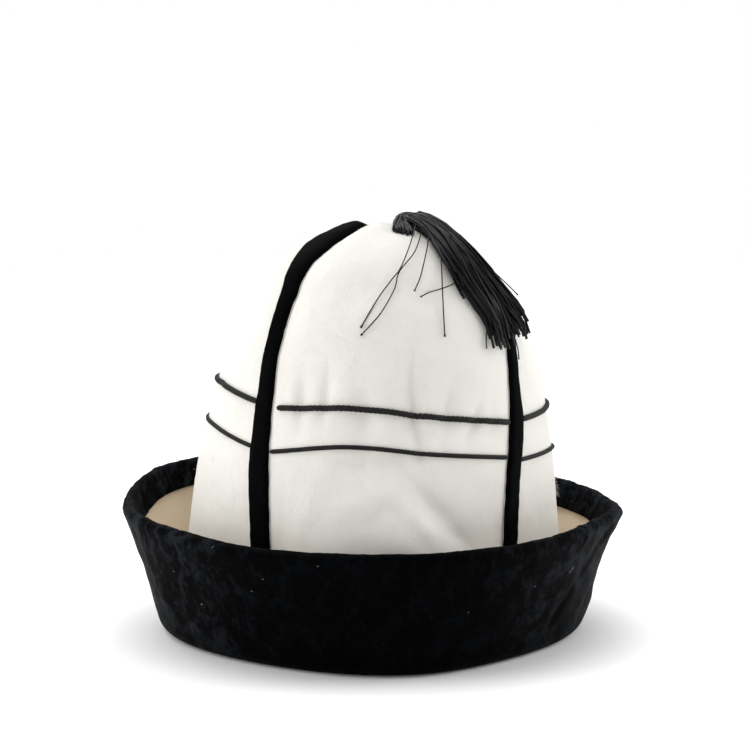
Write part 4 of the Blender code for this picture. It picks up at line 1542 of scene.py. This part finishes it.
def tuft(build):
    """The tuft's fibres, which bow over and mostly hang down."""
    for _ in range(TUFT_FIBRES):
        azimuth, way = fibre_draw.uniform(*TUFT_AZIMUTHS), fibre_draw.uniform(*TUFT_WAYS)
        base = on_crown(azimuth, way)
        out = (on_crown(azimuth, way, NORMAL_STEP) - base).normalized()
        run = out + Vector((0.0, fibre_draw.uniform(*TUFT_SPREAD), fibre_draw.uniform(*TUFT_FALL)))
        run *= fibre_draw.uniform(*TUFT_LENGTHS) / run.length
        path = [base, base + run * 0.5 + TUFT_ARCH, base + run]
        tube(path, lambda share: FIBRE_RADIUS * (TUFT_THICKNESS - share), FIBRE_SIDES, build)


for number, side in enumerate(GORES):
    fuzz = ([], [])
    for _ in range(FIBRES_PER_GORE):
        across, way = fibre_draw.uniform(*FIBRE_PLACES), fibre_draw.uniform(*FIBRE_WAYS)
        base = on_gore(number, across, way)
        out = (on_gore(number, across, way, NORMAL_STEP) - base).normalized()
        fibre(base, out, fibre_draw.uniform(*FIBRE_LENGTHS), fuzz)
    if side == "right":
        tuft(fuzz)
    make_piece(f"wool_fibres_{side}", fuzz, white_felt, "felt_white")

# %% Lint on the velvet
LINT_FIBRES = 5  # at each spot
LINT_RADIUS = 0.00006
LINT_LIFT = 0.00018
LINT_BOW = 0.00012
LINT_ACROSS = (0.4, 1)
LINT_UP = (0.1, 0.7)
LINT_SHIFT = 0.2  # of half its length
LINT_KNEE = 0.4
# Pixels of the photograph (column, row) where lint shows, and its length.
LINT = (
    (571, 570, 0.0030),
    (213, 547, 0.0011),
    (263, 579, 0.0010),
    (252, 591, 0.0008),
    (202, 604, 0.0014),
    (318, 566, 0.0007),
    (468, 612, 0.0007),
    (535, 586, 0.0008),
    (174, 571, 0.0008),
)
velvet_trees = trees_of([bpy.data.objects["velvet_cover"]])
lint_build = ([], [])
for column, row, length in LINT:
    spot, normal = nearest_hit(velvet_trees, EYE, sight(column, row).normalized())
    for _ in range(LINT_FIBRES):
        run = Vector((fibre_draw.uniform(*LINT_ACROSS), 0.0, fibre_draw.uniform(*LINT_UP)))
        run = (run - normal * run.dot(normal)).normalized() * length / 2
        base = spot + normal * LINT_LIFT + run * fibre_draw.uniform(-LINT_SHIFT, LINT_SHIFT)
        knee, bow = run * LINT_KNEE, normal * LINT_BOW
        path = [base - run, base - knee + bow, base + knee + bow, base + run]
        tube(path, lambda share: LINT_RADIUS, THREAD_SIDES, lint_build)
make_piece("velvet_lint", lint_build, wool_lint, "felt_white")

# %% [markdown]
# ## Floor and light
# The photograph was taken on white, in soft light from above and both sides. Large lights make the same
# soft shadow round the brim. The one on the right lies a little behind the hat, and a weak one in front,
# from the left, lifts the shade on the front gore. The floor is a wide white disc.

# %% Floor
FLOOR_RADIUS = 8.0
FLOOR_SIDES = 64
PAPER_CLOUDS = 3.0  # to a metre
COOL_WHITE = (0.90, 0.905, 0.91)
PLAIN_WHITE = (0.93, 0.93, 0.93)
floor_look = bpy.data.materials.new("White paper")
floor_look.use_nodes = True
floor_shader = floor_look.node_tree.nodes["Principled BSDF"]
floor_shader.inputs["Roughness"].default_value = 0.9
floor_shader.inputs["Specular IOR Level"].default_value = 0.1
paper_place = add_node(floor_look.node_tree, "ShaderNodeTexCoord").outputs["Object"]
paper_clouds = clouds(floor_look.node_tree, paper_place, PAPER_CLOUDS)
paper = colour_between(floor_look.node_tree, paper_clouds, COOL_WHITE, PLAIN_WHITE)
floor_look.node_tree.links.new(paper, floor_shader.inputs["Base Color"])

floor_mesh = bpy.data.meshes.new("floor")
turns = [2 * math.pi * k / FLOOR_SIDES for k in range(FLOOR_SIDES)]
ring = [(FLOOR_RADIUS * math.cos(a), FLOOR_RADIUS * math.sin(a), 0.0) for a in turns]
floor_mesh.from_pydata(ring, [], [tuple(range(FLOOR_SIDES))])
floor_mesh.materials.append(floor_look)
floor = bpy.data.objects.new("floor", floor_mesh)
bpy.context.scene.collection.objects.link(floor)


# %% Lights
def add_light(name, place, aim, size, power):
    """A white rectangular light, of that size and power, turned to its aim."""
    data = bpy.data.lights.new(name, "AREA")
    data.shape = "RECTANGLE"
    data.size, data.size_y = size
    data.energy = power
    light = bpy.data.objects.new(name, data)
    bpy.context.scene.collection.objects.link(light)
    light.location = place
    light.rotation_euler = (Vector(aim) - Vector(place)).to_track_quat("-Z", "Y").to_euler()


SKY_SOFTNESS = 75.0  # degrees across which the light from above spreads
SKY_STRENGTH = 2.45
SKY_PLACE = Vector((-0.22, 0.30, 1.0))  # the direction that it comes from
CROWN_MIDDLE = (0.0, 0.0, 0.10)
FRONT_MIDDLE = (0.0, 0.0, 0.08)
sky = bpy.data.lights.new("Light above", "SUN")
sky.energy = SKY_STRENGTH
sky.angle = math.radians(SKY_SOFTNESS)
sky_light = bpy.data.objects.new("Light above", sky)
bpy.context.scene.collection.objects.link(sky_light)
sky_light.rotation_euler = (-SKY_PLACE).to_track_quat("-Z", "Y").to_euler()
add_light("Light left", (-1.5, -0.25, 0.60), CROWN_MIDDLE, (1.0, 1.2), 10.0)
add_light("Light right", (1.5, 0.18, 0.70), CROWN_MIDDLE, (1.0, 1.2), 17.0)
add_light("Light in front", (-1.0, -1.5, 0.30), FRONT_MIDDLE, (1.4, 0.5), 6.0)

# %% The room
# The room is white, but darker behind the photographer than beside and behind the hat.
ROOM_LIGHT = 0.64
DARK_SIDE_LIGHT = 0.28
DARK_SIDE_EDGES = (0.15, 0.95)  # where the room begins to darken, and where it is darkest
WHITE = (1.0, 1.0, 1.0, 1.0)
world = bpy.data.worlds.new("White room")
bpy.context.scene.world = world
world.use_nodes = True
room = world.node_tree
room.nodes.clear()
direction = add_node(room, "ShaderNodeTexCoord").outputs["Generated"]
looking = add_node(room, "ShaderNodeSeparateXYZ", {0: direction})
backwards = worked(room, "MULTIPLY", looking.outputs["Y"], -1.0)
behind = steps_between(room, backwards, *DARK_SIDE_EDGES)
strength = worked(room, "MULTIPLY_ADD", behind, DARK_SIDE_LIGHT - ROOM_LIGHT, ROOM_LIGHT)
lit = add_node(room, "ShaderNodeBackground", {"Color": WHITE, "Strength": strength})
seen = add_node(room, "ShaderNodeBackground", {"Color": WHITE, "Strength": 1.0})
rays = add_node(room, "ShaderNodeLightPath")
both = add_node(room, "ShaderNodeMixShader", {0: rays.outputs["Is Camera Ray"]})
room.links.new(lit.outputs[0], both.inputs[1])
room.links.new(seen.outputs[0], both.inputs[2])
add_node(room, "ShaderNodeOutputWorld", {"Surface": both.outputs[0]})
bpy.context.scene.view_settings.view_transform = "Standard"
